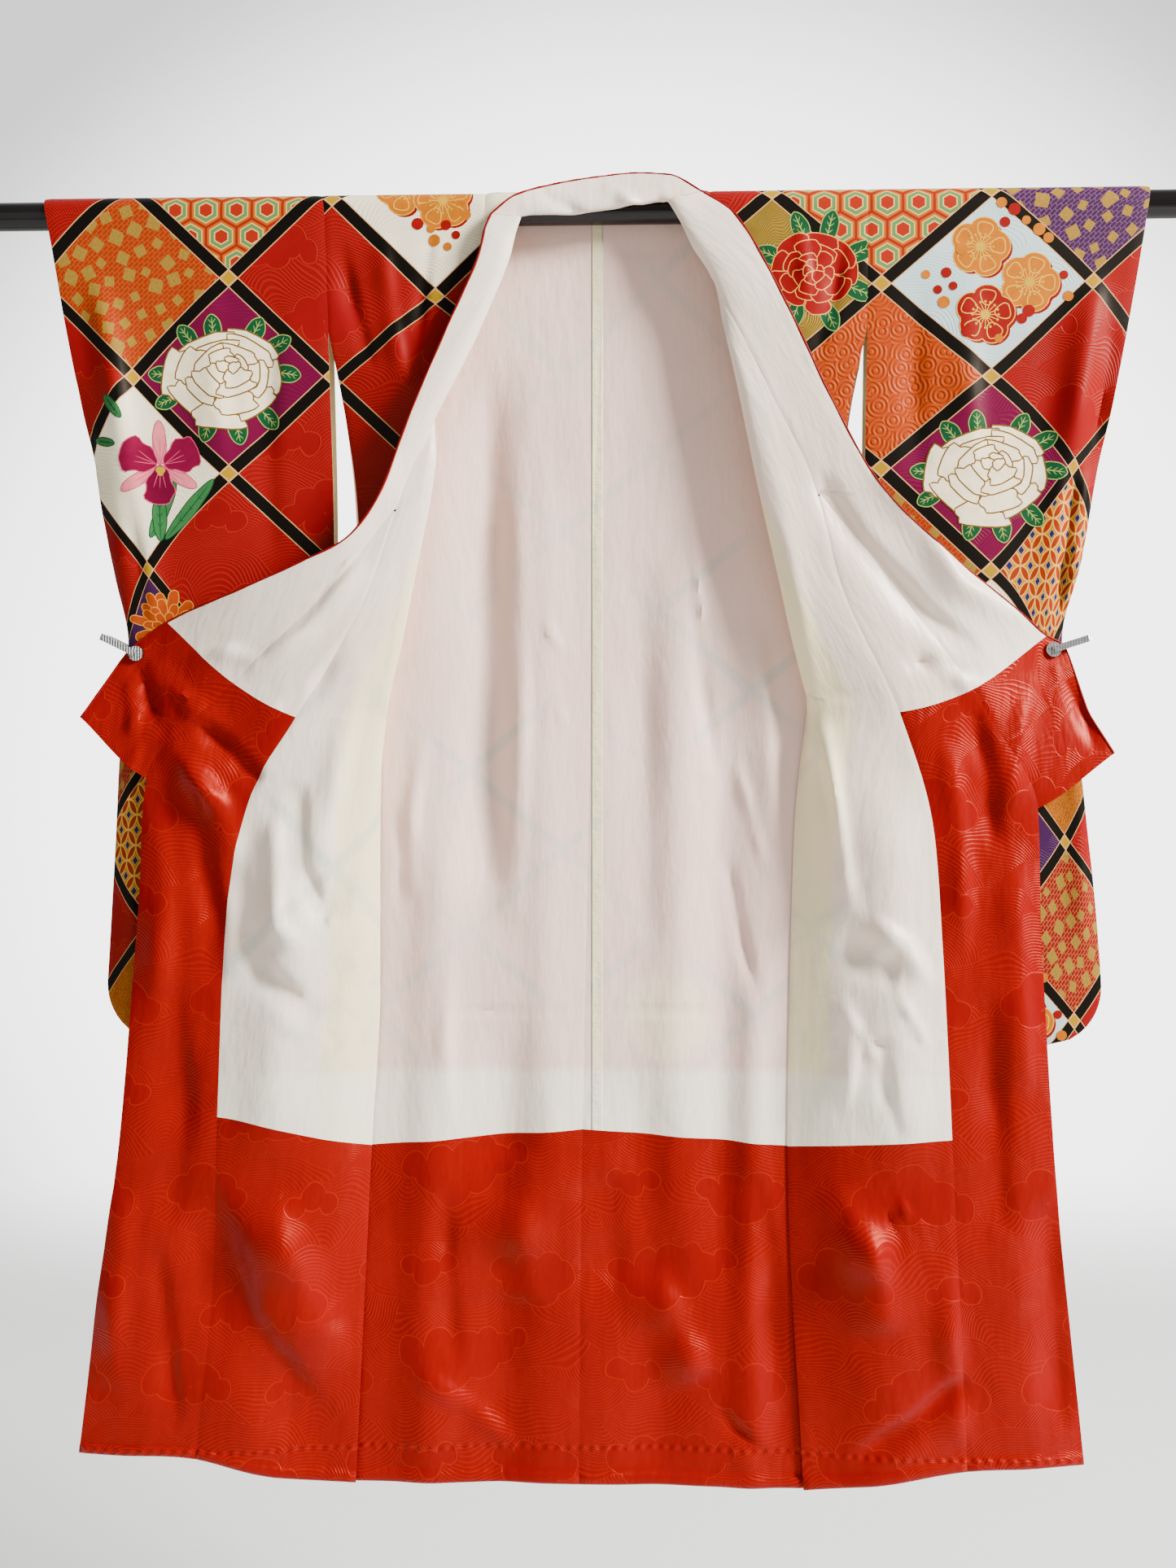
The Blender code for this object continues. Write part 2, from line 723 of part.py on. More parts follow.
def back_across(side, station, column):
    """How far across a column of the back stands: at the top its columns crowd round the neckline."""
    edge = back_edge(side, station)[0]
    centre = CENTRE_CURVE.at(station)[0]
    neck_columns_count = len(NECK_PARTS) - 1
    if column <= neck_columns_count:
        top = NECK_CENTRE + (NECK_END[side] - NECK_CENTRE) * NECK_PARTS[column]
    else:
        top = NECK_END[side] + (edge - NECK_END[side]) * (column - neck_columns_count) / SHOULDER_COLUMNS
    even = centre + (edge - centre) * column / BACK_COLUMNS
    blend = smooth_step((station - BACK_WRAP_END) / (EVEN_COLUMNS_FROM - BACK_WRAP_END))
    return top + (even - top) * blend


def back_point(side, station, column):
    """A point of the back: column 0 is the centre seam and the last column the side edge."""
    edge = back_edge(side, station)
    if column == BACK_COLUMNS:
        return edge
    across = back_across(side, station, column)
    if station <= BACK_WRAP_END:
        top_arc = WRAP_ARC_STEP * min(station, WRAP_END)
        end_arc = WRAP_RADIUS * math.pi / 2 - CENTRE_CURVE.at(BACK_WRAP_END)[2]
        if station > WRAP_END:
            top_arc += (end_arc - top_arc) * (station - WRAP_END)
        dip = neckline_dip(across)
        return round_rod(across, dip + (end_arc - dip) * top_arc / end_arc, 1)
    centre = CENTRE_CURVE.at(station)
    part = (across - centre[0]) / (edge[0] - centre[0])
    point = centre + (edge - centre) * part
    settled = min(1.0, (station - BACK_WRAP_END) / FOLD_START_STATIONS)
    settled *= min(1.0, (1 - part) / FOLD_EDGE_PART)
    point[1] -= settled * fold_rise(BACK_FOLDS, point[0], point[2])
    return point


def back_sheet(side, stations):
    rows, tangents = [], []
    for station in stations:
        points = [back_point(side, station, column) for column in range(BACK_COLUMNS + 1)]
        rows.append(points)
        tangents.append(np.gradient(np.array(points), axis=0))
    return Sheet(stations, rows, tangents, -1 if side == "left" else 1, falling=True)


def sleeve_heights():
    """Each sleeve row's arc round the rod, or its height below the rod."""
    wrapped = [("arc", i * WRAP_ARC_STEP) for i in range(WRAP_END + 1)]
    return wrapped + [("height", height) for height in SLEEVE_HEIGHTS]


def sleeve_outer_edge(side, height):
    """The outer edge, drawn in round the sleeve's lower corner."""
    across = float(SLEEVE_OUTER_CURVE[side].at(height)[0])
    above_bottom = height - SLEEVE_BOTTOM
    if above_bottom >= SLEEVE_CORNER_RADIUS:
        return across
    fall = SLEEVE_CORNER_RADIUS - above_bottom
    inward = SLEEVE_CORNER_RADIUS - math.sqrt(max(0.0, SLEEVE_CORNER_RADIUS**2 - fall**2))
    return across - math.copysign(inward, across)


def smooth_step(value):
    value = min(1.0, max(0.0, value))
    return value * value * (3 - 2 * value)


def sleeve_point(side, kind, value, part, facing):
    """A point of a sleeve layer: part is 0 at the armhole side and 1 at the cuff side."""
    if kind == "arc":
        start = armhole_seam(side, value / WRAP_ARC_STEP, facing)
        outer = sleeve_outer_edge(side, start[2])
        return start + np.array([(outer - start[0]) * part, 0, 0])
    height = value
    if height >= -ARMHOLE_DROP:
        inner = armhole_below_rod(side, height, facing)[0]
    else:
        inner = float(SLEEVE_INNER_CURVE[side].at(height)[0])
    outer = sleeve_outer_edge(side, height)
    across = inner + (outer - inner) * part
    half = float(SLEEVE_GAP_CURVE.at(height)[0])
    closed = smooth_step((CUFF_OPEN_TO - height) / (CUFF_OPEN_TO - CUFF_CLOSED_BELOW))
    shape = 1 - closed * (1 - math.sqrt(1 - part**4))
    rise = min(1.0, (height - SLEEVE_BOTTOM) / BOTTOM_CLOSING)
    shape *= math.sqrt(1 - (1 - rise) ** 2)
    half = half * shape + CLOSED_HALF * (1 - shape)
    settled = smooth_step(-height / ARMHOLE_DROP - FOLD_EDGE_PART) * smooth_step(part / FOLD_EDGE_PART)
    depth = facing * half - settled * fold_rise(SLEEVE_FOLDS[side], across, height)
    return np.array([across, depth, height])


def sleeve_sheet(side, facing):
    rows, tangents, places = [], [], []
    for kind, value in sleeve_heights():
        places.append(value if kind == "arc" else WRAP_END * WRAP_ARC_STEP - value)
        parts = [i / SLEEVE_COLUMNS for i in range(SLEEVE_COLUMNS + 1)]
        points = [sleeve_point(side, kind, value, part, facing) for part in parts]
        rows.append(points)
        tangents.append(np.gradient(np.array(points), axis=0))
    outward = 1 if side == "left" else -1
    return Sheet(places, rows, tangents, -outward * facing)


# Meshes


def new_object(name, finish, mesh):
    obj = bpy.data.objects.new(name, mesh)
    bpy.context.scene.collection.objects.link(obj)
    mesh.materials.append(material(finish))
    return obj


def material(name):
    """The material of this name, made on its first use."""
    found = bpy.data.materials.get(name)
    if found:
        return found
    finish = FINISHES[name]
    made = bpy.data.materials.new(name)
    made.use_nodes = True
    shader = made.node_tree.nodes["Principled BSDF"]
    shader.inputs["Base Color"].default_value = (finish.red, finish.green, finish.blue, 1)
    shader.inputs["Roughness"].default_value = finish.roughness
    shader.inputs["Metallic"].default_value = finish.metallic
    return made


def trimmed(layer, gap):
    """The layer's points with its border drawn in by a gap."""
    out = layer.copy()
    borders = (
        (np.s_[0, :], np.s_[1, :]),
        (np.s_[-1, :], np.s_[-2, :]),
        (np.s_[:, 0], np.s_[:, 1]),
        (np.s_[:, -1], np.s_[:, -2]),
    )
    for edge, beside in borders:
        border = np.gradient(layer[edge], axis=0)
        border /= np.linalg.norm(border, axis=1, keepdims=True)
        way = layer[beside] - layer[edge]
        way -= border * np.sum(way * border, axis=1, keepdims=True)
        out[edge] += way / np.linalg.norm(way, axis=1, keepdims=True) * gap
    return out


def wall(name, finish, sheet, low, high):
    """A closed wall between two offsets from a sheet. Each offset is one size or one for each row."""
    rows, columns = sheet.points.shape[:2]
    low = np.broadcast_to(np.asarray(low, float), (rows,))[:, None, None]
    high = np.broadcast_to(np.asarray(high, float), (rows,))[:, None, None]
    middle = trimmed(sheet.points, sheet.border_gap)
    layers = [middle + sheet.normals * low, middle + sheet.normals * high]
    vertices = np.concatenate([layer.reshape(-1, 3) for layer in layers]) * MM
    count = rows * columns
    faces = []
    for r in range(rows - 1):
        for c in range(columns - 1):
            a = r * columns + c
            b = a + 1
            d = a + columns
            e = d + 1
            for half in ((a, d, e), (a, e, b)) if sheet.falling else ((a, d, b), (b, d, e)):
                faces += [half, tuple(count + corner for corner in reversed(half))]
    corner = rows * columns - 1
    across = [(c, c + 1) for c in range(columns - 1)]
    down = [(r * columns, (r + 1) * columns) for r in range(rows - 1)]
    rims = [(here, there, 1) for here, there in across]
    rims += [(corner - columns + 1 + here, corner - columns + 1 + there, -1) for here, there in across]
    rims += [(here, there, -1) for here, there in down]
    rims += [(columns - 1 + here, columns - 1 + there, 1) for here, there in down]
    for here, there, turn in rims:
        for face in ((here, there, count + there), (here, count + there, count + here)):
            faces.append(face[::turn])
    mesh = bpy.data.meshes.new(name)
    mesh.from_pydata([tuple(v) for v in vertices], [], faces)
    facing_out(mesh)
    mesh.shade_smooth()
    mesh.set_sharp_from_angle(angle=math.radians(50))
    return new_object(name, finish, mesh)


def facing_out(mesh):
    """Turns a closed mesh's faces outwards."""
    made = bmesh.new()
    made.from_mesh(mesh)
    if made.calc_volume(signed=True) < 0:
        bmesh.ops.reverse_faces(made, faces=made.faces)
    made.to_mesh(mesh)
    made.free()


def outer_stations(stations):
    """The outer cloth's rows, which end a little above the rolled hem's edge."""
    return list(stations) + [row.station for row in ROLLED_HEM[:OUTER_HEM_ROWS]]


def part_of(stations, first, last=HEM):
    return [station for station in stations if first <= station <= last]


def hem_lining_wall(name, sheet_of, body):
    """The red lining of the hem, which ends in a padded roll under the outer cloth's edge."""
    sheet = sheet_of(body + [row.station for row in ROLLED_HEM])
    low = [LINING_WALL[0]] * len(body) + [row.low for row in ROLLED_HEM]
    high = [LINING_WALL[1]] * len(body) + [row.high for row in ROLLED_HEM]
    return wall(name, "red_lining", sheet, low, high)


# Pieces


def make_front(side):
    def panel(stations):
        return front_sheet(side, stations, "side", "seam", FRONT_COLUMNS)

    wall(f"front_{side}", "outer_cloth", panel(outer_stations(FRONT_STATIONS[side])), *OUTER_WALL)
    upper = part_of(FRONT_STATIONS[side], 0, WHITE_BORDER)
    wall(f"front_lining_{side}", "white_lining", panel(upper), *LINING_WALL)
    hem_lining_wall(f"front_hem_lining_{side}", panel, part_of(FRONT_STATIONS[side], WHITE_BORDER))


def make_okumi(side):
    def panel(stations):
        return front_sheet(side, stations, "seam", "okumi", OKUMI_COLUMNS)

    whole = outer_stations(part_of(FRONT_STATIONS[side], OKUMI_START))
    wall(f"okumi_{side}", "outer_cloth", panel(whole), *OUTER_WALL)
    upper = part_of(FRONT_STATIONS[side], OKUMI_START, RED_BORDER)
    wall(f"okumi_lining_{side}", "white_lining", panel(upper), *LINING_WALL)
    hem_lining_wall(f"okumi_hem_lining_{side}", panel, part_of(FRONT_STATIONS[side], RED_BORDER))


def collar_sheet(side, stations, columns=COLLAR_COLUMNS):
    """The collar beside a front: it starts at the front down to the overlap's tip, then at the overlap."""
    rows, tangents = [], []
    for station in stations:
        path, marks = section(side, station)
        first = marks["okumi"] if station > OKUMI_TIP else marks["seam"]
        points, ways = columns_between(path, first, marks["free"], columns)
        rows.append(points)
        tangents.append(ways)
    return Sheet(stations, rows, tangents, -1 if side == "left" else 1)


def make_collar(side):
    whole = collar_sheet(side, part_of(FRONT_STATIONS[side], 0, COLLAR_END))
    wall(f"collar_{side}", "outer_cloth", whole, *OUTER_WALL)
    upper = collar_sheet(side, part_of(FRONT_STATIONS[side], 0, RED_BORDER))
    wall(f"collar_lining_{side}", "white_lining", upper, *LINING_WALL)
    lower = collar_sheet(side, part_of(FRONT_STATIONS[side], RED_BORDER, COLLAR_END))
    wall(f"collar_hem_lining_{side}", "red_lining", lower, *LINING_WALL)


def make_neck_collar():
    sheet = neck_sheet()
    wall("collar_neck", "outer_cloth", sheet, *OUTER_WALL)
    wall("collar_lining_neck", "white_lining", sheet, *LINING_WALL)


def make_back(side):
    def panel(stations):
        return back_sheet(side, stations)

    wall(f"back_{side}", "outer_cloth", panel(outer_stations(BACK_STATIONS)), *OUTER_WALL)
    upper = part_of(BACK_STATIONS, 0, WHITE_BORDER)
    wall(f"back_lining_{side}", "white_lining", panel(upper), *LINING_WALL)
    hem_lining_wall(f"back_hem_lining_{side}", panel, part_of(BACK_STATIONS, WHITE_BORDER))


def make_sleeve(side):
    for layer, facing in (("front", -1), ("back", 1)):
        sheet = sleeve_sheet(side, facing)
        wall(f"sleeve_{layer}_{side}", "outer_cloth", sheet, *OUTER_WALL)
        wall(f"sleeve_lining_{layer}_{side}", "white_lining", sheet, *LINING_WALL)


def make_rod():
    mesh = bpy.data.meshes.new("rod")
    made = bmesh.new()
    bmesh.ops.create_cone(
        made,
        cap_ends=True,
        segments=ROD_SIDES,
        radius1=ROD_RADIUS * MM,
        radius2=ROD_RADIUS * MM,
        depth=ROD_LENGTH * MM,
    )
    made.to_mesh(mesh)
    made.free()
    mesh.shade_smooth()
    mesh.set_sharp_from_angle(angle=math.radians(40))
    rod = new_object("rod", "black_lacquer", mesh)
    rod.rotation_euler = (0, math.pi / 2, 0)
    return rod


def cloth_depths(trees, points):
    """The nearest and farthest depth of the cloth at some points, given as across and height."""
    depths = []
    for tree in trees:
        for across, height in points:
            for facing in (-1, 1):
                start = mathutils.Vector((across * MM, facing * RAY_START * MM, height * MM))
                hit = tree.ray_cast(start, mathutils.Vector((0, -facing, 0)))[0]
                if hit:
                    depths.append(hit.y / MM)
    return min(depths), max(depths)


def cloth_trees():
    trees = []
    for obj in bpy.context.scene.collection.objects:
        if obj.name != "rod" and not obj.name.startswith("clip"):
            faces = [tuple(face.vertices) for face in obj.data.polygons]
            trees.append(BVHTree.FromPolygons([vertex.co for vertex in obj.data.vertices], faces))
    return trees


def disc_points(centre, radius):
    """Points over a disc, given as across and height."""
    points = [tuple(centre)]
    for part in (0.5, 1.0):
        for i in range(CLIP_PAD_SIDES):
            angle = 2 * math.pi * i / CLIP_PAD_SIDES
            spoke = np.array([math.cos(angle), math.sin(angle)])
            points.append(tuple(centre + part * radius * spoke))
    return points


def make_clip(side, trees):
    """A plain spring clip: two arms joined at the outer end, each with a round pad at its jaw."""
    clip = CLIPS[side]
    jaw = np.array([clip.jaw_x, clip.jaw_z])
    run = np.array([clip.end_x, clip.end_z]) - jaw
    length = float(np.hypot(*run))
    way = run / length
    half = CLIP_ARM_WIDTH / 2
    near, far = cloth_depths(trees, disc_points(jaw, CLIP_PAD_RADIUS))
    arm_points = []
    for i in range(CLIP_PROBES + 1):
        arm_points += disc_points(jaw + run * i / CLIP_PROBES, half)
    arm_near, arm_far = cloth_depths(trees, arm_points)
    pad_front = near - CLIP_GAP
    pad_back = far + CLIP_GAP
    front = min(pad_front - CLIP_PAD_THICK, arm_near - CLIP_GAP)
    back = max(pad_back + CLIP_PAD_THICK, arm_far + CLIP_GAP)
    front_arm = front - CLIP_ARM_THICK
    back_arm = back + CLIP_ARM_THICK
    inside = length - CLIP_ARM_THICK
    bar_profile = [
        (0, front_arm),
        (length - CLIP_OUTER_BEND, front_arm),
        (length, front_arm + CLIP_OUTER_BEND),
        (length, back_arm - CLIP_OUTER_BEND),
        (length - CLIP_OUTER_BEND, back_arm),
        (0, back_arm),
        (0, back),
        (inside - CLIP_INNER_BEND, back),
        (inside, back - CLIP_INNER_BEND),
        (inside, front + CLIP_INNER_BEND),
        (inside - CLIP_INNER_BEND, front),
        (0, front),
    ]

    def placed(obj):
        for vertex in obj.data.vertices:
            along, aside, depth = vertex.co
            across = clip.jaw_x + way[0] * along - way[1] * aside
            height = clip.jaw_z + way[1] * along + way[0] * aside
            vertex.co = (across * MM, depth * MM, height * MM)
        facing_out(obj.data)
        return obj

    bar = placed(prism(f"clip_{side}", bar_profile, half))
    pads = {"front": (front - CLIP_PAD_SINK, pad_front), "back": (pad_back, back + CLIP_PAD_SINK)}
    for where, (low, high) in pads.items():
        pad = placed(round_pad(f"cutter_pad_{where}_{side}", low, high))
        pad.hide_render = True
        pad.hide_viewport = True
        join = bar.modifiers.new(f"join_{where}", "BOOLEAN")
        join.operation = "UNION"
        join.solver = "EXACT"
        join.object = pad
    return bar


def prism(name, profile, half):
    """A bar whose outline, given as along and depth, runs from -half to half across it."""
    made = bmesh.new()
    sides = [[made.verts.new((along, across, depth)) for along, depth in profile] for across in (-half, half)]
    made.faces.new(sides[0])
    made.faces.new(list(reversed(sides[1])))
    for i in range(len(profile)):
        j = (i + 1) % len(profile)
        made.faces.new((sides[0][j], sides[0][i], sides[1][i], sides[1][j]))
    return object_from(name, "clip_metal", made)


def round_pad(name, low, high):
    """A round pad at the jaw, across the clip's depth."""
    made = bmesh.new()
    bmesh.ops.create_cone(
        made,
        cap_ends=True,
        segments=CLIP_PAD_SIDES,
        radius1=CLIP_PAD_RADIUS,
        radius2=CLIP_PAD_RADIUS,
        depth=high - low,
    )
    bmesh.ops.translate(made, verts=made.verts, vec=(0, 0, (low + high) / 2))
    return object_from(name, "clip_metal", made)


def object_from(name, finish, made):
    mesh = bpy.data.meshes.new(name)
    made.to_mesh(mesh)
    made.free()
    return new_object(name, finish, mesh)


def clear_scene():
    for obj in list(bpy.data.objects):
        bpy.data.objects.remove(obj, do_unlink=True)


def main():
    clear_scene()
    make_rod()
    for side in ("left", "right"):
        make_back(side)
        make_sleeve(side)
        make_front(side)
        make_okumi(side)
        make_collar(side)
    make_neck_collar()
    trees = cloth_trees()
    for side in ("left", "right"):
        make_clip(side, trees)


SIDE_CURVE = {side: Curve(rows) for side, rows in SIDE.items()}
ROLL_CURVE = {side: Curve(rows) for side, rows in ROLL.items()}
SEAM_CURVE = {side: Curve(rows) for side, rows in FRONT_SEAM.items()}
OKUMI_CURVE = {side: Curve(rows) for side, rows in OKUMI_EDGE.items()}
EDGE_CURVE = {side: Curve(rows) for side, rows in COLLAR_EDGE.items()}
ROLL_SIZE_CURVE = Curve(ROLL_SIZES)
CENTRE_CURVE = Curve(CENTRE_SEAM)
BACK_DEPTH_CURVE = Curve(BACK_EDGE_DEPTH)
NECK_ROLL_CURVE = Curve(NECK_ROLL)
NECK_EDGE_CURVE = Curve(NECK_EDGE)
SLEEVE_OUTER_CURVE = {side: Curve(rows) for side, rows in SLEEVE_OUTER.items()}
SLEEVE_INNER_CURVE = {side: Curve(rows) for side, rows in SLEEVE_INNER.items()}
SLEEVE_GAP_CURVE = Curve(SLEEVE_HALF_GAPS)

main()
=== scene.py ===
"""Looks of the furisode: silk shells on the solids' form, with folds, weave, patterns and flowers.

A station runs down the garment from the shoulder (0) to the hem (27). A section across it
passes side seam, rolled fold, front seam, overlap edge and collar edge in turn. Each piece of
cloth is a thin closed shell on one part of such a sheet. Sizes are in millimetres, and turned
into metres where a mesh is made. The cloth's flat coordinates drive its patterns.
"""

import functools
import math
from collections import namedtuple

import bpy
import mathutils
import numpy as np
from mathutils.bvhtree import BVHTree
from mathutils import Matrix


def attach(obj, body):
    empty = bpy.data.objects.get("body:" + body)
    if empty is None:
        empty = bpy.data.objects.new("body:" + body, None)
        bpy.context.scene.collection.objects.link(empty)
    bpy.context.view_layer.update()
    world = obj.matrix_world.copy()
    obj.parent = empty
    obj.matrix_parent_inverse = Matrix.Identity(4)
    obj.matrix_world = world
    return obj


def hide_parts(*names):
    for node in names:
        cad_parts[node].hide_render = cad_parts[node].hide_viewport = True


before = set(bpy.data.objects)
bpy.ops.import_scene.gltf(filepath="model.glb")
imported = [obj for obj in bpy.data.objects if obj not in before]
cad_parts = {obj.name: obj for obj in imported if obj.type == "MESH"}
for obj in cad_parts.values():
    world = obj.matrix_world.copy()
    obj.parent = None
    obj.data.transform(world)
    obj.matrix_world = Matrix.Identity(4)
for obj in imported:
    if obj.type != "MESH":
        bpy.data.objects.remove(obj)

MM = 0.001
SMALLEST_LENGTH = 1e-9
SMALLEST_HEIGHT = 1e-6
HALF = (0.5, 0.5, 0.0)
NO_LIGHT = (0.0, 0.0, 0.0)
FULL_LIGHT = (1.0, 1.0, 1.0)

# Offsets of the thin shells from the cloth's middle layer, and how much a seam draws them in
OUTER_SHELL = (0.1, 0.95)
LINING_SHELL = (-0.95, -0.1)
SEAM_DRAW = 0.7
SEAM_REACH = 2.2

# The cloth's middle layer where it lies round the rod, and where that ends
WRAP_RADIUS = 19.8
COLLAR_WRAP_RADIUS = 21.5
TURNED_BACK_RADIUS = 26.5
COLLAR_RAMP = 12.0
WRAP_END = 3
WRAP_ARC_STEP = WRAP_RADIUS * math.radians(30.0)
QUARTER_TURN = WRAP_RADIUS * math.pi / 2

# Stations where pieces of cloth begin and end
OKUMI_TIP = 10
RED_BORDER = 15
COLLAR_END = 18
WHITE_BORDER = 23
HEM = 27
ARMHOLE_END = 6
OKUMI_START = 10.2
ROLL_START = 26.86
OUTER_HEM = 26.93

# The padded roll of the hem lining: how far it stands out on each side of the cloth
HEM_ROLL_ROWS = 10
HEM_ROLL_LOW = 2.9
HEM_ROLL_HIGH = 1.5

# Rows and columns of the shells
ROW_STEP = 8.0
FRONT_COLUMNS = 44
OKUMI_COLUMNS = 20
COLLAR_COLUMNS = 22
NECK_COLUMNS = 28
NECK_ROWS = 76
NECK_END_BLEND = 14.0
NECK_JOIN = (0.0, 0.5, 1.0)
BACK_COLUMNS = 44
SHOULDER_COLUMNS = 4
SLEEVE_COLUMNS = 46
SLEEVE_WRAP_ROWS = 8
SLEEVE_ROWS = 128
BEND_WEIGHT = 14.0
SAMPLES_PER_SPAN = 40

# The cloth of a sleeve is wider than the sleeve hangs: what is spare rolls in near the cuff
SLEEVE_CLOTH_WIDTH = 337.0
DRAWN_IN_FROM = 150.0

# The armhole seam: across, at the rod's top, beside the rod and at its lower end
ArmholeSeam = namedtuple("ArmholeSeam", "top beside_rod lower_end")
ARMHOLE = {"left": ArmholeSeam(-325.0, -320.0, -315.0), "right": ArmholeSeam(330.0, 329.0, 328.5)}
ARMHOLE_DROP = 148.0
ARMHOLE_DEPTH = 18.0

# The fronts' lines. Each row is a station, then the line's place there: across, depth and height

# The free and seamed side edge of the front below the armhole
SIDE = {
    "left": (
        (6, -315, -18, -148), (8, -296, -11, -246), (10, -285, 1, -333), (12, -278, 9, -450),
        (15, -255, 10, -634), (18, -257, 10, -766), (21, -257, 10, -947), (23, -267, 10, -1129),
        (27, -286, 6, -1538),
    ),
    "right": (
        (6, 328.5, -18, -148), (8, 310, -11, -232), (10, 296, 1, -330), (12, 279, 9, -447),
        (15, 260, 10, -600), (18, 245, 10, -736), (21, 239, 10, -942), (23, 236, 10, -1127),
        (27, 255, 6, -1540),
    ),
}

# The rolled fold where the front turns back on itself, and below it the crest of a soft bulge
ROLL = {
    "left": (
        (0, -83, -31, -16), (3, -90, -31, -37), (4, -96, -30, -62), (6, -131, -31, -148),
        (8, -175, -33, -250), (10, -190, -35, -349), (12, -212, -29, -454), (13, -226, -23, -520),
        (14, -241, -14, -578), (15, -251, -8, -628), (16, -259, -12, -687), (18, -274, -18, -765),
        (20, -293, -24, -872), (23, -318, -18, -1117), (27, -380, -4, -1528),
    ),
    "right": (
        (0, 93, -30, 0), (3, 108, -30, -26), (4, 123, -30, -58), (5, 143, -31, -95), (7, 166, -33, -183),
        (10, 199, -35, -342), (12, 223, -30, -447), (13, 237, -23, -509), (14, 250, -15, -559),
        (15, 262, -10, -602), (16, 269, -16, -642), (18, 302, -26, -758), (20, 307, -26, -870),
        (23, 304, -16, -1120), (27, 335, -2, -1529),
    ),
}

# The front panel's inner seam: to the collar above the overlap's tip, to the overlap below it
FRONT_SEAM = {
    "left": (
        (3, -126.5, -19.8, 0), (4, -132, -21, -46), (5, -165, -22, -89), (6, -193, -23, -148),
        (7, -202, -26, -202), (8, -177, -33, -250), (9, -205, -42, -302), (10, -226, -47, -358),
        (12, -265, -46, -468), (15, -350, -39, -611), (18, -404, -34, -702), (20, -435, -32, -842),
        (23, -447, -26, -1089), (25, -458, -16, -1316), (27, -476, -12, -1504),
    ),
    "right": (
        (3, 142, -19.8, 0), (4, 142, -23, -54), (5, 143, -31, -95), (6, 172, -39, -149),
        (8, 215, -43, -236), (10, 264, -46, -342), (12, 295, -46, -460), (15, 363, -40, -606),
        (18, 404, -34, -749), (20, 414, -32, -879), (23, 427, -24, -1111), (27, 448, -8, -1509),
    ),
}

# The overlap's outer edge: the collar seam down to the collar's end, then a free edge
OKUMI_EDGE = {
    "left": (
        (10, -226, -47, -358), (12, -301, -50, -453), (14, -394, -40, -540), (15, -426, -34, -570),
        (16, -468, -28, -609), (18, -533, -26, -683), (20, -542, -24, -829), (23, -565, -18, -1102),
        (25, -597, -10, -1319), (27, -621, -6, -1501),
    ),
    "right": (
        (10, 264, -46, -342), (12, 338, -50, -433), (14, 416, -44, -535), (15, 449, -36, -579),
        (16, 475, -32, -623), (18, 526, -30, -719), (20, 531, -26, -869), (23, 546, -18, -1110),
        (27, 587, -2, -1501),
    ),
}

# The collar's free edge
COLLAR_EDGE = {
    "left": (
        (0, -117, -37, -15), (3, -124, -40, -33), (4, -130, -41, -60), (6, -170, -45, -154),
        (8, -213, -50, -256), (10, -247, -58, -350), (11, -286, -60, -402), (12, -338, -56, -428),
        (13, -410, -46, -458), (15, -510, -18, -496), (16, -555, -9, -526), (17, -591, -16, -577),
        (18, -613, -24, -611),
    ),
    "right": (
        (0, 132, -26, 12), (3, 165, -34, -12), (4, 191, -40, -50), (6, 239, -44, -145),
        (8, 281, -48, -237), (10, 339, -54, -343), (12, 411, -52, -416), (14, 500, -32, -485),
        (15, 540, -14, -515), (16, 560, -9, -525), (17, 587, -16, -602), (18, 616, -24, -655),
    ),
}

# Half the depth of the rolled fold at a station
ROLL_SIZES = ((0, 6.0), (8, 8.5), (12, 9.0), (14, 6.0), (15, 0.0))
SMALLEST_ROLL = 2.0
ROLL_INSET = 0.9
SEAM_NEAR_ROLL = 2.2

# The station where the collar seam passes from the outside, over the fold, to the inside
SEAM_CROSSING = {"left": 8.0, "right": 5.0}
EASED_STATIONS = 0.8
EASED_FALL = 1.5
EASING_ROUNDS = 24

# The back: its centre seam, with rows like the fronts', and the depth of its side edges at a station
CENTRE_SEAM = (
    (4, 12, 19, -46), (6, 10, 18, -148), (8, 7, 17, -239), (10, 4, 16, -332), (12, 1, 16, -448),
    (15, -2, 16, -616), (18, -4, 15, -751), (21, -8, 15, -945), (23, -11, 15, -1109),
    (25, -14, 14, -1322), (27, -15, 12, -1539),
)
BACK_EDGE_DEPTH = ((6, 18.0), (8, 16.0), (10, 14.0), (15, 13.3), (27, 12.3))
BACK_WRAP_END = 4
BACK_REACHES_OUT = 4.0
EVEN_COLUMNS_FROM = 8

# The neckline: how far across it reaches, its dip down the back, and where its columns stand
NECK_END = {"left": -126.5, "right": 142.0}
NECK_CENTRE = 12.0
NECK_DIP = 38.0
NECK_DIP_POWER = 0.7
NECK_PARTS = (0, 0.33, 0.58, 0.77, 0.9, 1)

# The collar behind the neck, with its place along the neckline as the first number
NECK_ROLL = (
    (-126.5, -83, -31, -16), (-104, -68, -31, -14), (-58, -34, -30, -13), (2, 9, -30, -9),
    (62, 57, -29, -2), (110, 81, -27, 3), (142, 93, -30, 0),
)
NECK_EDGE = (
    (-126.5, -117, -37, -15), (-104, -91, -33, 7), (-58, -52, -23, 22), (2, 2, -12, 35), (62, 56, -6, 42),
    (110, 95, -10, 38), (142, 132, -26, 12),
)
NECK_HALF_DEPTH = 5.0
OVER_ROD_FROM_DIP = 6.0

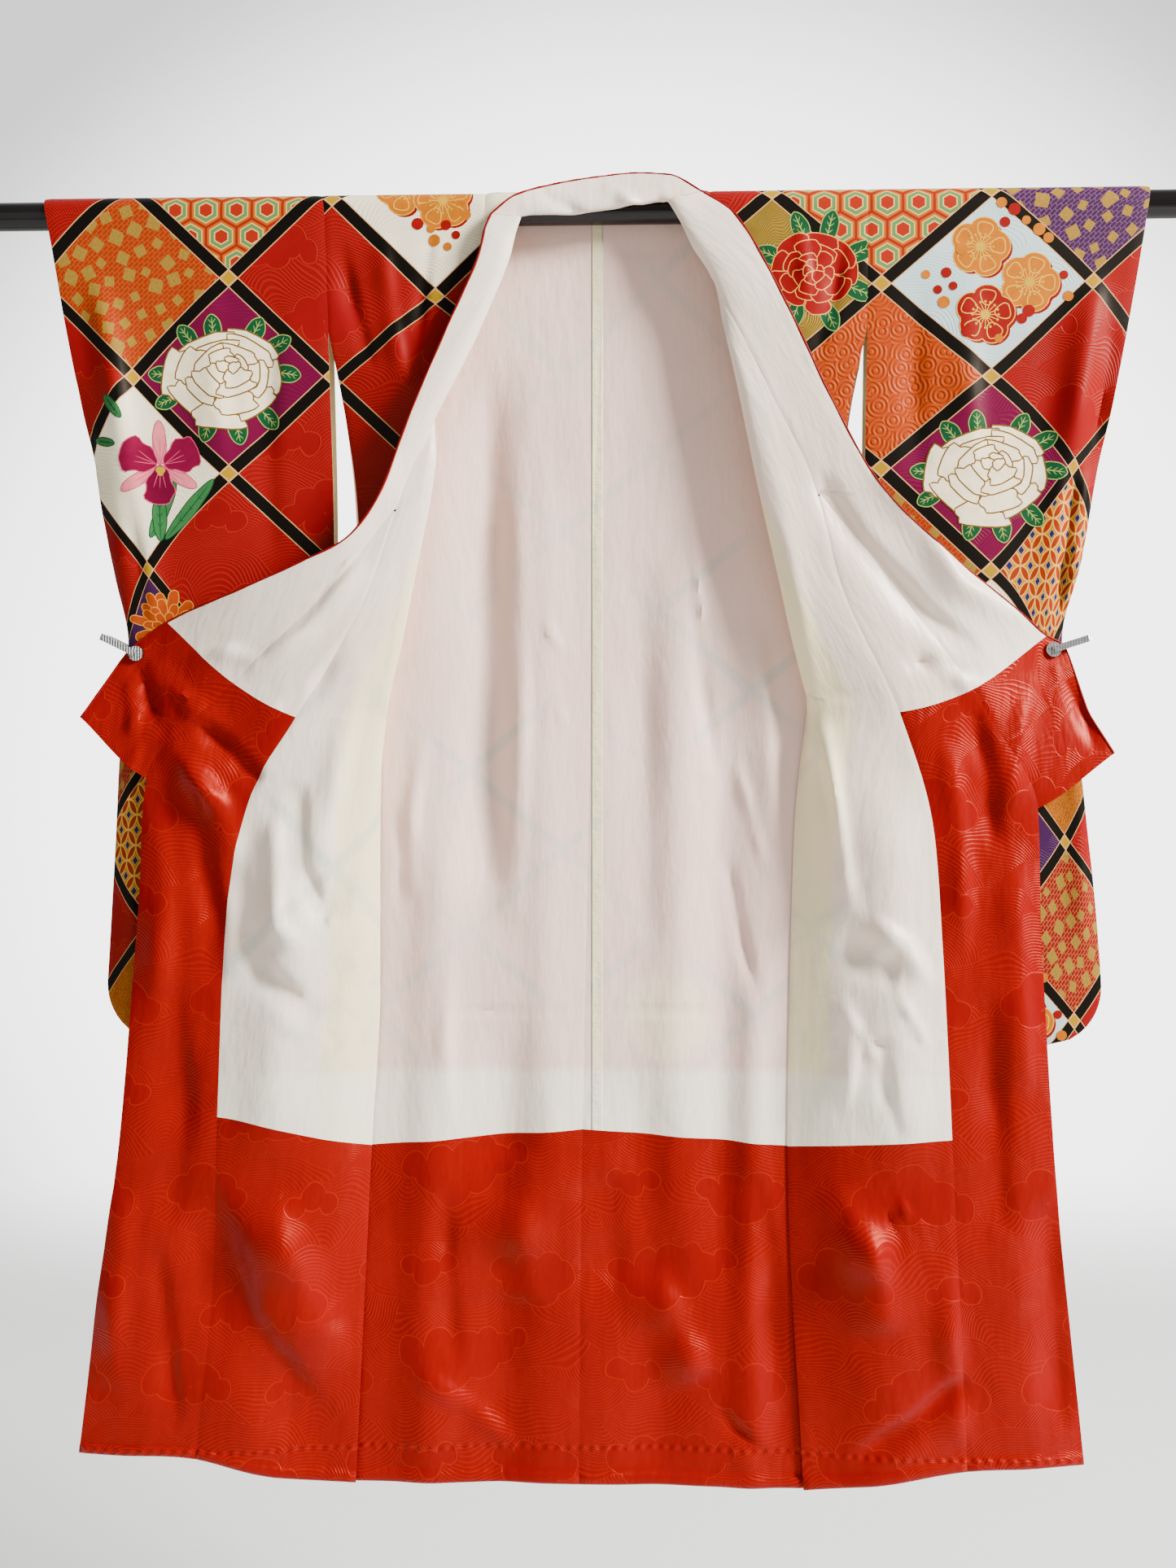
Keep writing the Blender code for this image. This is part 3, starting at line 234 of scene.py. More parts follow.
# Sleeves: at a height, how far across the two edges lie, and half the gap between the layers
SLEEVE_BOTTOM = -1003.0
SLEEVE_CORNER_RADIUS = 75.0
CUFF_OPEN_TO = -240.0
CUFF_CLOSED_BELOW = -320.0
CLOSED_HALF = 1.9
BOTTOM_CLOSING = 70.0
SLEEVE_OUTER = {
    "left": (
        (19, -662), (-34, -652), (-132, -635), (-264, -610), (-349, -597), (-439, -578), (-520, -562),
        (-659, -572), (-789, -579), (-1003, -592),
    ),
    "right": (
        (19, 662), (-34, 654), (-124, 639), (-227, 620), (-330, 600), (-416, 585), (-520, 561),
        (-678, 582), (-853, 602), (-1003, 612),
    ),
}
SLEEVE_INNER = {
    "left": ((-148, -315), (-412, -309), (-1003, -309)),
    "right": ((-148, 328.5), (-318, 326), (-1003, 326)),
}
SLEEVE_HALF_GAPS = ((0, 19.8), (-148, 18.0), (-340, 14.0), (-535, 10.0), (-860, 7.0), (-1003, 5.0))

# Large soft folds: from one end to the other, how wide, and how far towards the viewer
Fold = namedtuple("Fold", "x0 z0 x1 z1 width rise")
SLEEVE_FOLDS = {
    "left": (Fold(-590, -90, -540, -480, 24, 9), Fold(-450, -260, -470, -900, 60, 2.5)),
    "right": (Fold(590, -120, 548, -480, 24, 9), Fold(450, -260, 480, -900, 60, 2.5)),
}
FRONT_FOLDS = {
    "left": (
        Fold(-330, -690, -390, -1130, 42, 15), Fold(-470, -560, -470, -760, 22, 7),
        Fold(-530, -560, -500, -640, 15, 5), Fold(-400, -1180, -420, -1560, 55, 9),
        Fold(-540, -900, -560, -1560, 50, 6),
    ),
    "right": (
        Fold(345, -700, 372, -1140, 40, 12), Fold(455, -330, 330, -240, 26, 6),
        Fold(470, -560, 500, -760, 22, 6), Fold(360, -1190, 350, -1560, 55, 9),
        Fold(505, -900, 520, -1560, 45, 6),
    ),
}
BACK_FOLDS = (
    Fold(-118, -190, -128, -860, 26, -8), Fold(-62, -330, -50, -1250, 30, 6),
    Fold(108, -420, 96, -1250, 28, 7), Fold(165, -560, 160, -1300, 26, -7),
    Fold(-185, -740, -200, -1560, 30, 9), Fold(-105, -980, -110, -1560, 34, -9),
    Fold(75, -1050, 80, -1560, 38, -8), Fold(205, -900, 190, -1560, 26, 8),
)
FOLD_END_TAPER = 120.0
FOLD_END_PART = 0.35
FOLD_EDGE_PART = 0.2
FOLD_START_STATIONS = 2
SETTLING_STATIONS = 2.0

# Fine creases: the points of each one's line as across and height, then its width and its rise
# to the viewer
CREASE_GAIN = 1.7
DEEPEST_CREASE = 13.0
CREASE_SWELL = 0.34
CREASE_SWELL_TURNS = 11.0
CREASE_TAPER = 0.7
CREASE_LEAN = 0.3
FLAP_CREASES = {
    "left": (
        (-548, -540, -520, -608, -505, -630, 8, -6), (-556, -556, -546, -605, -549, -640, 6, 4),
        (-530, -545, -470, -600, -430, -625, 9, 4), (-508, -636, -440, -714, -424, -780, 15, 8),
        (-476, -612, -425, -652, -390, -690, 11, -8),
        (-476, -688, -462, -766, -448, -845, -446, -930, 14, -8),
        (-522, -700, -510, -840, -520, -1010, 20, 6), (-540, -640, -560, -700, -555, -780, 7, 3),
        (-500, -930, -490, -1080, -505, -1220, 22, -6),
        (-420, -788, -390, -913, -340, -952, -282, -905, 15, -10),
        (-346, -688, -341, -790, -320, -836, -272, -796, 13, -8),
        (-374, -728, -370, -856, -330, -894, 13, 7), (-266, -532, -300, -680, -316, -786, 15, 7),
        (-218, -424, -237, -532, -244, -630, 7, -6), (-378, -985, -335, -997, -266, -992, 2.6, -1.6),
        (-410, -556, -337, -510, -266, -428, 11, 5), (-372, -600, -330, -580, -290, -520, 8, -4),
        (-480, -540, -430, -530, -390, -545, 9, 3), (-296, -434, -286, -428, -275, -422, 2.5, 1.6),
        (-330, -470, -316, -462, -306, -452, 2.5, -1.4),
        (-467, -1162, -420, -1335, -349, -1437, -287, -1508, 30, -14),
        (-390, -1180, -345, -1290, -296, -1400, 30, 10), (-560, -1180, -572, -1320, -580, -1420, 20, 5),
        (-520, -1240, -510, -1360, -500, -1470, 12, -4),
    ),
    "right": (
        (192, -295, 218, -456, 245, -594, 250, -670, 8, -7),
        (207, -295, 250, -535, 277, -643, 292, -776, 309, -851, 17, 11),
        (262, -600, 278, -700, 296, -800, 9, -7), (303, -861, 330, -900, 362, -905, 16, -11),
        (330, -850, 372, -880, 400, -930, 12, 6), (266, -327, 314, -402, 389, -487, 453, -535, 13, -8),
        (336, -317, 432, -456, 528, -509, 14, 6), (368, -552, 386, -546, 405, -541, 8, -6),
        (410, -560, 440, -570, 470, -575, 9, 4), (362, -937, 382, -970, 400, -1001, 5, 3),
        (307, -961, 322, -990, 342, -1020, 6, 2.5), (280, -960, 330, -1000, 420, -985, 2.6, -1.6),
        (345, -990, 352, -1060, 366, -1110, 9, -4), (300, -940, 310, -1010, 300, -1080, 13, 5),
        (549, -541, 556, -573, 548, -600, 4, 2.5), (560, -560, 585, -610, 600, -655, 8, -4),
        (520, -560, 505, -640, 498, -720, 10, 4), (450, -600, 470, -680, 476, -770, 12, -5),
        (420, -640, 436, -760, 440, -900, 13, 5), (500, -760, 505, -900, 512, -1060, 18, 5),
        (470, -940, 480, -1080, 486, -1220, 16, -5), (288, -1172, 330, -1240, 352, -1340, 28, 10),
        (308, -1500, 380, -1450, 446, -1392, 11, -7), (366, -1176, 375, -1200, 396, -1216, 4, 2.5),
        (350, -1190, 358, -1215, 372, -1232, 4, -2), (540, -1180, 548, -1330, 560, -1460, 18, -5),
        (420, -1250, 430, -1380, 440, -1480, 16, 5),
    ),
}
SHOULDER_CREASES = {
    "left": (
        (-300, -40, -285, -110, -262, -190, 10, -3), (-250, -30, -240, -120, -220, -220, 12, 3),
        (-190, -30, -200, -110, -205, -190, 8, -2.5),
    ),
    "right": ((300, -40, 290, -110, 270, -180, 10, -3), (250, -30, 256, -80, 258, -120, 8, 2.5)),
}
NECK_CREASES = ((14, 26, 50, -2, 72, -16, 8, 3), (-60, 14, -30, -4, 0, -16, 7, -2.5))
BACK_CREASES = (
    (-129, -187, -134, -530, -124, -824, 30, -9), (-88, -330, -84, -600, -92, -860, 14, 4),
    (-202, -628, -218, -726, -214, -830, 9, 4), (-238, -726, -232, -780, -235, -850, 6, -3),
    (-170, -900, -176, -1010, -168, -1110, 9, 3), (-54, -491, -46, -512, -36, -530, 3, 3),
    (-36, -597, -34, -612, -32, -623, 2.6, 2.4), (121, -373, 133, -476, 145, -628, 3.6, 3),
    (132, -476, 138, -574, 151, -680, 8, -4), (165, -776, 186, -883, 204, -960, 7, -4),
    (175, -657, 199, -746, 214, -795, 5, 3), (60, -420, 66, -640, 70, -880, 22, -4),
    (200, -500, 214, -620, 224, -760, 12, 5), (-183, -373, -120, -366, -66, -364, 3, 1.1),
    (-241, -961, -124, -966, -12, -962, 2.4, -1.6), (-8, -962, 131, -966, 229, -971, 2.4, -1.6),
    (-85, -1138, -88, -1220, -84, -1320, 40, 10), (72, -1275, 96, -1340, 131, -1412, 30, 9),
    (194, -1158, 222, -1275, 240, -1510, 15, -8), (-180, -1180, -176, -1300, -168, -1400, 18, -5),
    (20, -1160, 24, -1260, 20, -1340, 26, -5), (-210, -1400, -140, -1450, -90, -1500, 12, 4),
    (150, -1440, 190, -1480, 215, -1510, 9, -4),
)
SLEEVE_CREASES = {
    "left": (
        (-600, -60, -575, -160, -556, -300, 12, 4), (-618, -200, -600, -300, -580, -400, 9, -4),
        (-560, -330, -545, -420, -540, -500, 9, -4), (-460, -60, -452, -200, -440, -360, 20, 3),
        (-380, -100, -390, -260, -384, -420, 16, -3), (-560, -620, -556, -760, -560, -900, 12, 4),
    ),
    "right": (
        (604, -80, 585, -180, 566, -300, 12, 4), (575, -310, 566, -400, 556, -500, 6, -6),
        (590, -320, 580, -400, 566, -490, 7, 4), (620, -150, 606, -240, 590, -330, 8, -4),
        (450, -60, 446, -200, 456, -340, 20, 3), (390, -90, 384, -220, 392, -330, 15, -3),
        (580, -620, 584, -760, 586, -900, 12, 4),
    ),
}
SLEEVE_BACK_CREASES = {
    "left": (
        (-590, -80, -570, -260, -552, -460, 16, -5), (-420, -200, -440, -500, -450, -900, 30, -5),
        (-500, -60, -490, -260, -500, -480, 14, 3), (-360, -520, -372, -700, -368, -900, 16, 3),
    ),
    "right": (
        (590, -80, 572, -260, 556, -460, 16, -5), (420, -220, 440, -500, 460, -900, 30, -5),
        (500, -70, 492, -260, 504, -470, 14, 3), (376, -540, 386, -700, 380, -880, 16, 3),
    ),
}

# The cuts: flat width and length in metres, and the share of that rectangle that is cloth
Cut = namedtuple("Cut", "width length share")

# The figured silk: clouds of round lobes (x, y, radius) in a tile, and water as low hills of fine lines
CLOUD_TILE = (250.0, 230.0)
CLOUD_LOBES = (
    (34, 70, 17), (56, 58, 21), (84, 47, 25), (114, 56, 23), (138, 72, 19), (160, 84, 13), (98, 76, 22),
    (66, 80, 17), (122, 88, 13), (140, 170, 15), (160, 156, 20), (188, 148, 23), (214, 162, 18),
    (196, 174, 18), (168, 178, 14), (30, 176, 13), (50, 168, 16), (72, 178, 12),
)
CLOUD_WOBBLE = 22.0
CLOUD_LINE = 0.75
CLOUD_LINE_SOFT = 0.35
CLOUD_MARGIN = 1.5
CLOUD_MARGIN_SOFT = 0.8
CLOUD_COLUMN_SHIFT = 0.44
CLOUD_DRIFT_SCALES = (0.012, 0.014)
HILL_WIDTH = 150.0
HILL_RADIUS = 84.0
HILL_ROW = 40.0
HILL_ROWS = 4
HILL_WOBBLE = 60.0
HILL_DRIFT_SCALES = (0.008, 0.0093)
WATER_PITCH = 3.7
WATER_SHARE = 0.36
WATER_SOFT = 0.1

# How strongly a figure's lines show, and how far they and other patterns stand out
RIM_SHARE = 0.6
OUTER_WAVE_SHARE = 0.4
PLAIN_WAVE_SHARE = 0.35
HEM_WAVE_SHARE = 0.34
FIGURE_DEPTH = 0.25 * MM
PLAIN_DEPTH = 0.2 * MM
PATTERN_DEPTH = 0.3 * MM
HEM_FIGURE_DEPTH = 0.22 * MM

# The weave
WEAVE_PITCH = 1.1
RIB_SHARE = 0.25
CREPE_SCALE = 0.9
CREPE_ROUGHNESS = 0.6
CREPE_DEPTH = 0.06 * MM
SATIN_DEPTH = 0.04 * MM
HEM_WEAVE_DEPTH = 0.05 * MM
SILK_ROUGHNESS = 0.45
HEM_ROUGHNESS = 0.36

# The names of the shells' maps, and the angle over which an edge stays sharp
CLOTH_MAP = "cloth"
LATTICE_MAP = "lattice"
SHARP_DEGREES = 50

# A colour mixing node's sockets
MIX_FIRST = 6
MIX_SECOND = 7
MIX_RESULT = 2

# The linings: tones, what shows through, the fold beside the centre seam with painted shade along its edges,
# slack and stitches
WHITER_FROM = 1062.0
WHITER_SOFT = 12.0
WHITER_SHARE = 0.8
SIDE_STRIP_FROM = 182.0
SIDE_STRIP_SOFT = 10.0
SEEN_FLOWER_PLACE = (88.0, 1004.0)
SEEN_FLOWER_REACH = 66.0
SEEN_FLOWER_SOFT = 9.0
SEEN_FLOWER_BLOTCHES = 30.0
SEEN_FLOWER_SHARE = 0.55
SEEN_PATCH_DOWN = 960.0
SEEN_PATCH_REACH = 110.0
SEEN_PATCH_SOFT = 60.0
SEEN_PATCH_SHARE = 0.2
SEEN_BAND_SHARE = 0.42
SEEN_BAND_SOFT = 0.45
SEAM_FOLD = 6.5
SEAM_FOLD_LINE = 0.9
FOLD_EDGE_PAINTED_SHADE = 0.75
FOLD_HEIGHT = 0.6
FOLD_DEPTH = 1.6 * MM
PUCKER_STRETCH = (0.5, 1.0, 1.0)
STREAK_STRETCH = (1.0, 0.08, 1.0)
LINING_SLACK_STRETCH = (1.0, 0.35, 1.0)
LINING_SLACK_DEPTH = 2.2 * MM
HEM_SLACK_STRETCH = (1.0, 0.4, 1.0)
HEM_SLACK_DEPTH = 2.4 * MM
HEM_STITCH_DOWN = 1526.0
HEM_STITCH_PITCH = 14.0
HEM_STITCH_HALF = 3.0
HEM_STITCH_SOFT = 2.0
HEM_STITCH_DEPTH = 0.7 * MM

# The lattice of the outer silk, in parts of a cell
BAND_HALF = 0.041
BAND_EDGE = 0.048
CROSS_HALF = 0.036

# The patterns' sizes
HEXAGON_PITCH = 37.0
HEXAGON_SOFT = 0.35
RING_RADIUS = 18.5
RING_EDGE_SOFT = 0.4
RING_LINE_HALF = 1.1
RING_SOFT = 0.3
DIAMOND_RIM = 6.6
DIAMOND_HALF = 5.4
CRACKLE_SIZE = 5.0
CRACKLE_SHARE = 0.6
SWIRL_SIZE = 22.0
SWIRL_TURNS = 26.0
SWIRL_SHARE = 0.28
BRUSH_BEND = 60.0
BRUSH_PITCH = 4.2
NET_PITCH = 9.0
NET_TURN = math.radians(43.0)
NET_THICKNESS = 0.06
NET_SHARE = 0.6
FOIL_GRID_TURN = 0.35
FOIL_PITCH = 25.0
FOIL_SIZES = (0.2, 0.34)
FOIL_SCATTER = 0.26
FOIL_TURN = 1.2

# The rod's and the clips' surface, with painted light and shade on the clips' ribs
DUST_DEPTH = 0.02 * MM
SCRATCH_SCALES = (60.0, 900.0, 900.0)
SCRATCH_DEPTH = 0.03 * MM
CLIP_RIB_PITCH = 0.0032
CLIP_RIB_DEPTH = 0.0005
CLIP_RIB_PAINTED_SHADE_SHARE = 0.35

# Colours, as the shader's own light values
OUTER_RED = (0.21, 0.0016, 0.0035)
OUTER_RED_LINE = (0.34, 0.014, 0.004)
HEM_RED = (0.2, 0.0008, 0.0016)
HEM_RED_LINE = (0.32, 0.008, 0.0012)
LINING_PINK = (0.8, 0.53, 0.46)
LINING_ROSE = (0.82, 0.6, 0.5)
LINING_CREAM = (0.84, 0.72, 0.44)
LINING_WHITE = (0.84, 0.78, 0.63)
# Painted shade for the edges of the back lining's centre fold
LINING_PAINTED_SHADE = (0.62, 0.53, 0.46)
SEEN_THROUGH = (0.42, 0.5, 0.45)
SEEN_FLOWER = (0.87, 0.76, 0.5)
BAND_BLACK = (0.0022, 0.0018, 0.0015)
EDGE_CREAM = (0.56, 0.28, 0.11)
CROSS_GOLD = (0.36, 0.2, 0.002)
MAGENTA = (0.11, 0.0012, 0.027)
MAGENTA_LINE = (0.15, 0.003, 0.04)
CREAM = (0.88, 0.78, 0.56)
CREAM_LINE = (0.75, 0.6, 0.38)
PALE_BLUE = (0.46, 0.58, 0.57)
PALE_LINE = (0.36, 0.47, 0.46)
PURPLE = (0.036, 0.0065, 0.045)
PURPLE_LINE = (0.055, 0.014, 0.065)
PURPLE_THREAD = (0.16, 0.085, 0.12)
FOIL_ORANGE = (0.27, 0.022, 0.0028)
FOIL_THREAD = (0.42, 0.09, 0.006)
FOIL_GOLD = (0.36, 0.21, 0.028)
FOIL_SHADE = (0.16, 0.085, 0.012)
NET_RED = (0.2, 0.0035, 0.003)
NET_THREAD = (0.42, 0.15, 0.05)
HEXAGON_LINE = (0.25, 0.012, 0.003)
Ring = namedtuple("Ring", "reach color")
HEXAGON_RINGS = (
    Ring(0.455, (0.4, 0.092, 0.004)), Ring(0.385, (0.72, 0.45, 0.09)), Ring(0.35, (0.09, 0.19, 0.06)),
    Ring(0.235, (0.76, 0.48, 0.12)), Ring(0.2, (0.3, 0.014, 0.004)),
)
RING_GROUND = (0.36, 0.145, 0.003)
RING_PETAL = (0.26, 0.019, 0.001)
RING_LINE = (0.6, 0.33, 0.05)
RING_DIAMOND = (0.01, 0.0095, 0.08)
CRACKLE_LIGHT = (0.42, 0.12, 0.004)
CRACKLE_DARK = (0.26, 0.06, 0.003)
CRACKLE_LINE = (0.12, 0.022, 0.002)
SWIRL_ORANGE = (0.32, 0.033, 0.002)
SWIRL_LINE = (0.46, 0.09, 0.01)
BRUSHED_GOLD = (0.24, 0.145, 0.016)
BRUSHED_LINE = (0.09, 0.05, 0.006)
RED_GLOSS = (1.0, 0.16, 0.07)
SILK_GLOSS = (1.0, 0.8, 0.6)
LACQUER_BLACK = (0.004, 0.0036, 0.004)
LACQUER_BROWN = (0.012, 0.008, 0.007)
# Painted light and shade for the clips' ribs
STEEL_RIB_PAINTED_LIGHT = (0.62, 0.62, 0.6)
STEEL_RIB_PAINTED_SHADE = (0.3, 0.3, 0.29)
FLOOR_PALE = (0.62, 0.62, 0.61)
FLOOR_WARM = (0.58, 0.577, 0.565)

# The outer silk's roll along the collar's free edge
EDGE_SIDES = 8
EDGE_RADIUS = 1.6
EDGE_REACH = 0.5
EDGE_OFFSET = 0.3
EDGE_SWELL = 0.12
EDGE_SWELL_STEP = 0.9

# Flowers on the outer silk: how finely they are drawn, and how far they lie above the cloth
PETAL_POINTS = 26
RUFFLES = 6
FLOWER_LIFT = 0.14
FLOWER_LAYER = 0.035
FLOWER_MARGIN = 14.0
FLOWER_FIT = 0.75
FLOWER_AWAY = 0.45
FLOWER_FEWEST = 12
FLOWER_SHOWN = 0.02
DEPTH_OUTSIDE = 500.0
DELAUNAY_GAP = 1e-4

# Petals and leaves: their outlines, how much they differ from one another, their veins and lines
PETAL_FOOT_WIDTH = 0.55
PETAL_WIDENING = 0.75
RING_TIP = 0.7
RING_RUFFLE = 0.07
FULL_TURN = 360
SWAY_WAVES = (5, 3, 7)
TURN_SWAY = 7
LENGTH_SWAY = 0.13
WIDTH_SWAY = 0.16
LOBE_ROUNDNESS = 0.6
MIDRIB_LENGTH = 0.92
MIDRIB_WIDTH = 1.3
VEIN_PLACES = (0.3, 0.5, 0.68)
VEIN_TURN = 38
VEIN_LENGTH = 0.36
VEIN_WIDTH = 0.8
LINE_WIDTH = 1.1
ROSE_LINE_WIDTH = 1.8

# The painted silk's colours
SILK_PAINTS = {
    "rose": (0.86, 0.72, 0.48),
    "rose_line": (0.14, 0.066, 0.009),
    "leaf": (0.004, 0.055, 0.019),
    "leaf_line": (0.26, 0.34, 0.07),
    "orchid": (0.17, 0.0015, 0.03),
    "orchid_dark": (0.12, 0.001, 0.022),
    "orchid_pale": (0.72, 0.17, 0.2),
    "orchid_line": (0.52, 0.05, 0.12),
    "leaf_pale": (0.03, 0.14, 0.04),
    "plum_orange": (0.42, 0.115, 0.001),
    "plum_red": (0.21, 0.003, 0.003),
    "plum_line": (0.7, 0.38, 0.03),
    "edge": (0.17, 0.002, 0.003),
    "gold": (0.5, 0.28, 0.01),
    "peony": (0.21, 0.002, 0.003),
    "peony_line": (0.7, 0.3, 0.06),
    "chrysanthemum": (0.36, 0.045, 0.002),
    "chrysanthemum_line": (0.6, 0.25, 0.02),
}

# The rose, peony and chrysanthemum: rings of petals from the outside in, and leaves
PetalRing = namedtuple("PetalRing", "count turn foot length width")
Leaf = namedtuple("Leaf", "x y turn length width")
ROSE_RINGS = (
    PetalRing(7, 12, 26, 44, 62), PetalRing(6, 46, 14, 40, 54), PetalRing(5, 0, 7, 31, 42),
    PetalRing(4, 30, 2, 23, 30), PetalRing(3, 80, 0, 13, 17),
)
ROSE_SQUASH = 0.8
ROSE_TIP = 0.6
ROSE_STEP = (1.6, 4.0)
ROSE_RUFFLE = 0.13
ROSE_LEAVES = (
    Leaf(-34, 36, 128, 34, 20), Leaf(-12, 42, 96, 34, 20), Leaf(28, 40, 62, 36, 21),
    Leaf(46, 30, 28, 38, 20), Leaf(58, 8, 350, 34, 20), Leaf(40, -34, 312, 34, 20),
    Leaf(12, -44, 282, 36, 21), Leaf(-14, -42, 252, 36, 21), Leaf(-56, -20, 205, 30, 18),
    Leaf(-60, 4, 176, 32, 19),
)
PEONY_RINGS = (
    PetalRing(9, 0, 18, 34, 34), PetalRing(8, 20, 11, 28, 27), PetalRing(7, 5, 5, 22, 20),
    PetalRing(5, 30, 0, 14, 13),
)
PEONY_LEAVES = (
    Leaf(-8, 34, 112, 40, 20), Leaf(14, 34, 76, 40, 20), Leaf(34, 14, 26, 44, 22),
    Leaf(34, -14, 338, 42, 22), Leaf(12, -34, 292, 38, 20), Leaf(-16, -34, 248, 38, 20),
    Leaf(-34, 14, 158, 36, 20),
)
PEONY_SQUASH = 0.9
CHRYSANTHEMUM_TIP = 0.9
CHRYSANTHEMUM_RINGS = (
    PetalRing(15, 0, 14, 30, 11), PetalRing(13, 12, 8, 24, 9), PetalRing(9, 0, 2, 17, 8),
)

# The plum blossoms: paint, x and y of each, then their parts and the loose buds' places
PLUMS = {
    "right": (("orange", -12, 42), ("orange", 46, 0), ("red", -6, -38)),
    "left": (("orange", -38, 22), ("orange", 8, 4)),
}
PLUM_REACH = 35.0
PLUM_TURN = 0.3
PLUM_TURN_STEP = 0.02
PLUM_SHADE = 3
PLUM_PETALS = 5
PLUM_DENT = 0.22
SHADE_DENT = 0.2
HEART_DENT = 0.15
PLUM_PETAL_FOOT = 12
PLUM_PETAL_SIZE = 17
PLUM_HEART = 6
PLUM_DOT = 5.2
STAMENS = 16
STAMEN_LENGTH = 15
STAMEN_WIDTH = 0.9
STAMEN_TIP_PLACE = 15.5
STAMEN_TIP = 1.5
PLUM_DOTS = {
    "right": (
        (-76, 10), (-52, 12), (-55, -23), (-44, -4), (13, 94), (28, 86), (42, 73), (17, 71), (57, 62),
        (86, 8), (91, -17), (45, -34), (10, -66), (37, -43), (-34, 40), (-62, -8), (68, 52), (-28, -58),
    ),
    "left": ((-6, -30), (12, -26), (-2, -44), (24, -38), (36, -14), (-22, -24), (14, -52)),
}

# The orchid: petals, leaves, each kind of petal's tip and ruffle, its lines and its heart
ORCHID_PETALS = (
    ("orchid_pale", Leaf(0, 4, 92, 52, 15)),
    ("orchid_pale", Leaf(-6, -2, 212, 48, 14)),
    ("orchid_pale", Leaf(6, -2, 330, 44, 14)),
    ("orchid", Leaf(-5, 4, 158, 44, 40)),
    ("orchid", Leaf(5, 4, 24, 44, 40)),
    ("orchid_dark", Leaf(0, 2, 268, 46, 34)),
)
ORCHID_LEAVES = (
    Leaf(-12, -84, 66, 74, 15), Leaf(6, -86, 50, 92, 15), Leaf(0, -88, 92, 58, 16),
    Leaf(-44, 58, 128, 34, 11), Leaf(-54, 28, 168, 26, 9),
)
NARROW_PETAL = (1.1, 0.02)
BROAD_PETAL = (0.75, 0.12)
ORCHID_LINE_TURN = 16
ORCHID_LINE_LENGTH = 0.6
ORCHID_HEART = (0, -4, 6, 3, 0.3, 0.5)

# The flower in cells of a fill, and the cells that have another one or have it moved
FLOWER_IN = {
    "magenta": "rose", "pale": "plum", "cream": "orchid", "purple": "chrysanthemum",
    "brushed_gold": "peony",
}
FlowerPlace = namedtuple("FlowerPlace", "kind x y")
FLOWER_PLACES = {
    ("left", (0, -2)): FlowerPlace("plum", 0, -6), ("left", (0, 1)): FlowerPlace("orchid", 22, 8),
    ("left", (1, 2)): FlowerPlace("chrysanthemum", 12, 40),
    ("right", (-2, 0)): FlowerPlace("peony", 48, 14), ("right", (0, 0)): FlowerPlace("rose", 2, -6),
    ("left", (0, 0)): FlowerPlace("rose", -6, -2),
}

# The lattice's place on each side: where a crossing stands, its columns' pitch, and rows by place down
Lattice = namedtuple("Lattice", "origin pitch rows")
LATTICE_ROW_PITCH = 117.0
LATTICES = {
    "sleeve_left": Lattice(
        -435.2, 125.0,
        ((-3.7, -1), (113.8, 0), (232.6, 1), (348.2, 2), (463.1, 3), (737, 5.5), (947, 7.5)),
    ),
    "body_left": Lattice(-435.2, 125.0, ((18.6, -1), (139.6, 0), (239, 1), (354, 2))),
    "back": Lattice(-35.0, 115.0, ((224.0, 0), (802.0, 6), (999.0, 8))),
    "right": Lattice(
        474.4, 129.5, ((17.2, -2), (128, -1), (239, 0), (346, 1), (469, 2), (790.6, 5), (1003, 7)),
    ),
}

# What fills each cell, by the numbers of the two lines at its top
CELLS = {
    "left": {
        (0, 0): "magenta", (-1, 0): "foil_orange", (0, -1): "red", (-1, -1): "hexagons", (0, 1): "cream",
        (-1, 1): "red", (1, 0): "red", (1, 1): "red", (1, 2): "purple", (0, 2): "red", (-2, 0): "red",
        (1, 3): "foil_red", (2, 3): "linked_rings", (2, 4): "red", (3, 4): "crackle", (0, -2): "cream",
        (1, -2): "red", (1, -1): "red",
    },
    "right": {
        (-1, -1): "pale", (0, -1): "red", (-1, 0): "swirls", (0, 0): "magenta", (-1, -2): "foil_purple",
        (-2, -1): "hexagons", (0, -2): "red", (1, -1): "red", (1, 0): "linked_rings", (1, 1): "cream",
        (-2, 0): "brushed_gold", (-2, 1): "swirls", (2, 1): "crackle", (2, 2): "purple", (3, 1): "red",
        (3, 2): "foil_red", (3, 3): "pale", (4, 2): "red", (4, 3): "red",
    },
}
CELLS_ELSEWHERE = (
    "red", "swirls", "red", "magenta", "linked_rings", "red", "pale", "foil_orange", "red", "hexagons",
    "purple", "red", "cream",
)
CELL_STEPS = (5, 7)

# Camera, light and floor, in metres but for the camera's
CAMERA_YAW = 1.9
CAMERA_DISTANCE = 2000.0
CAMERA_AIM = (-4.0, -690.4)
CAMERA_SENSOR = 36.0
CAMERA_CLIP = (0.1, 50.0)
PHOTO_HEIGHT = 1927
MM_FOR_EACH_PIXEL = 0.98
Light = namedtuple("Light", "name place width height power color")
LIGHT_AIM = (0.0, 0.0, -0.75)
LIGHTS = (
    Light("key", (4.4, -2.35, 2.15), 1.5, 1.5, 1270.0, (1.0, 0.985, 0.965)),
    Light("fill", (-2.0, -2.6, -0.5), 2.2, 2.4, 12.0, (0.96, 0.98, 1.0)),
    Light("back", (0.6, 2.8, 1.0), 2.0, 2.0, 90.0, (1.0, 1.0, 1.0)),
)
WORLD_COLOR = (1.0, 0.998, 0.99)

# The world's strengths, which are added: each goes from its first to its second strength while
# the way turns from the first to the second share of straight back
WORLD_STRENGTHS = (((-0.3, 0.75), (0.36, 1.3)), ((0.87, 0.95), (0.0, 3.1)))

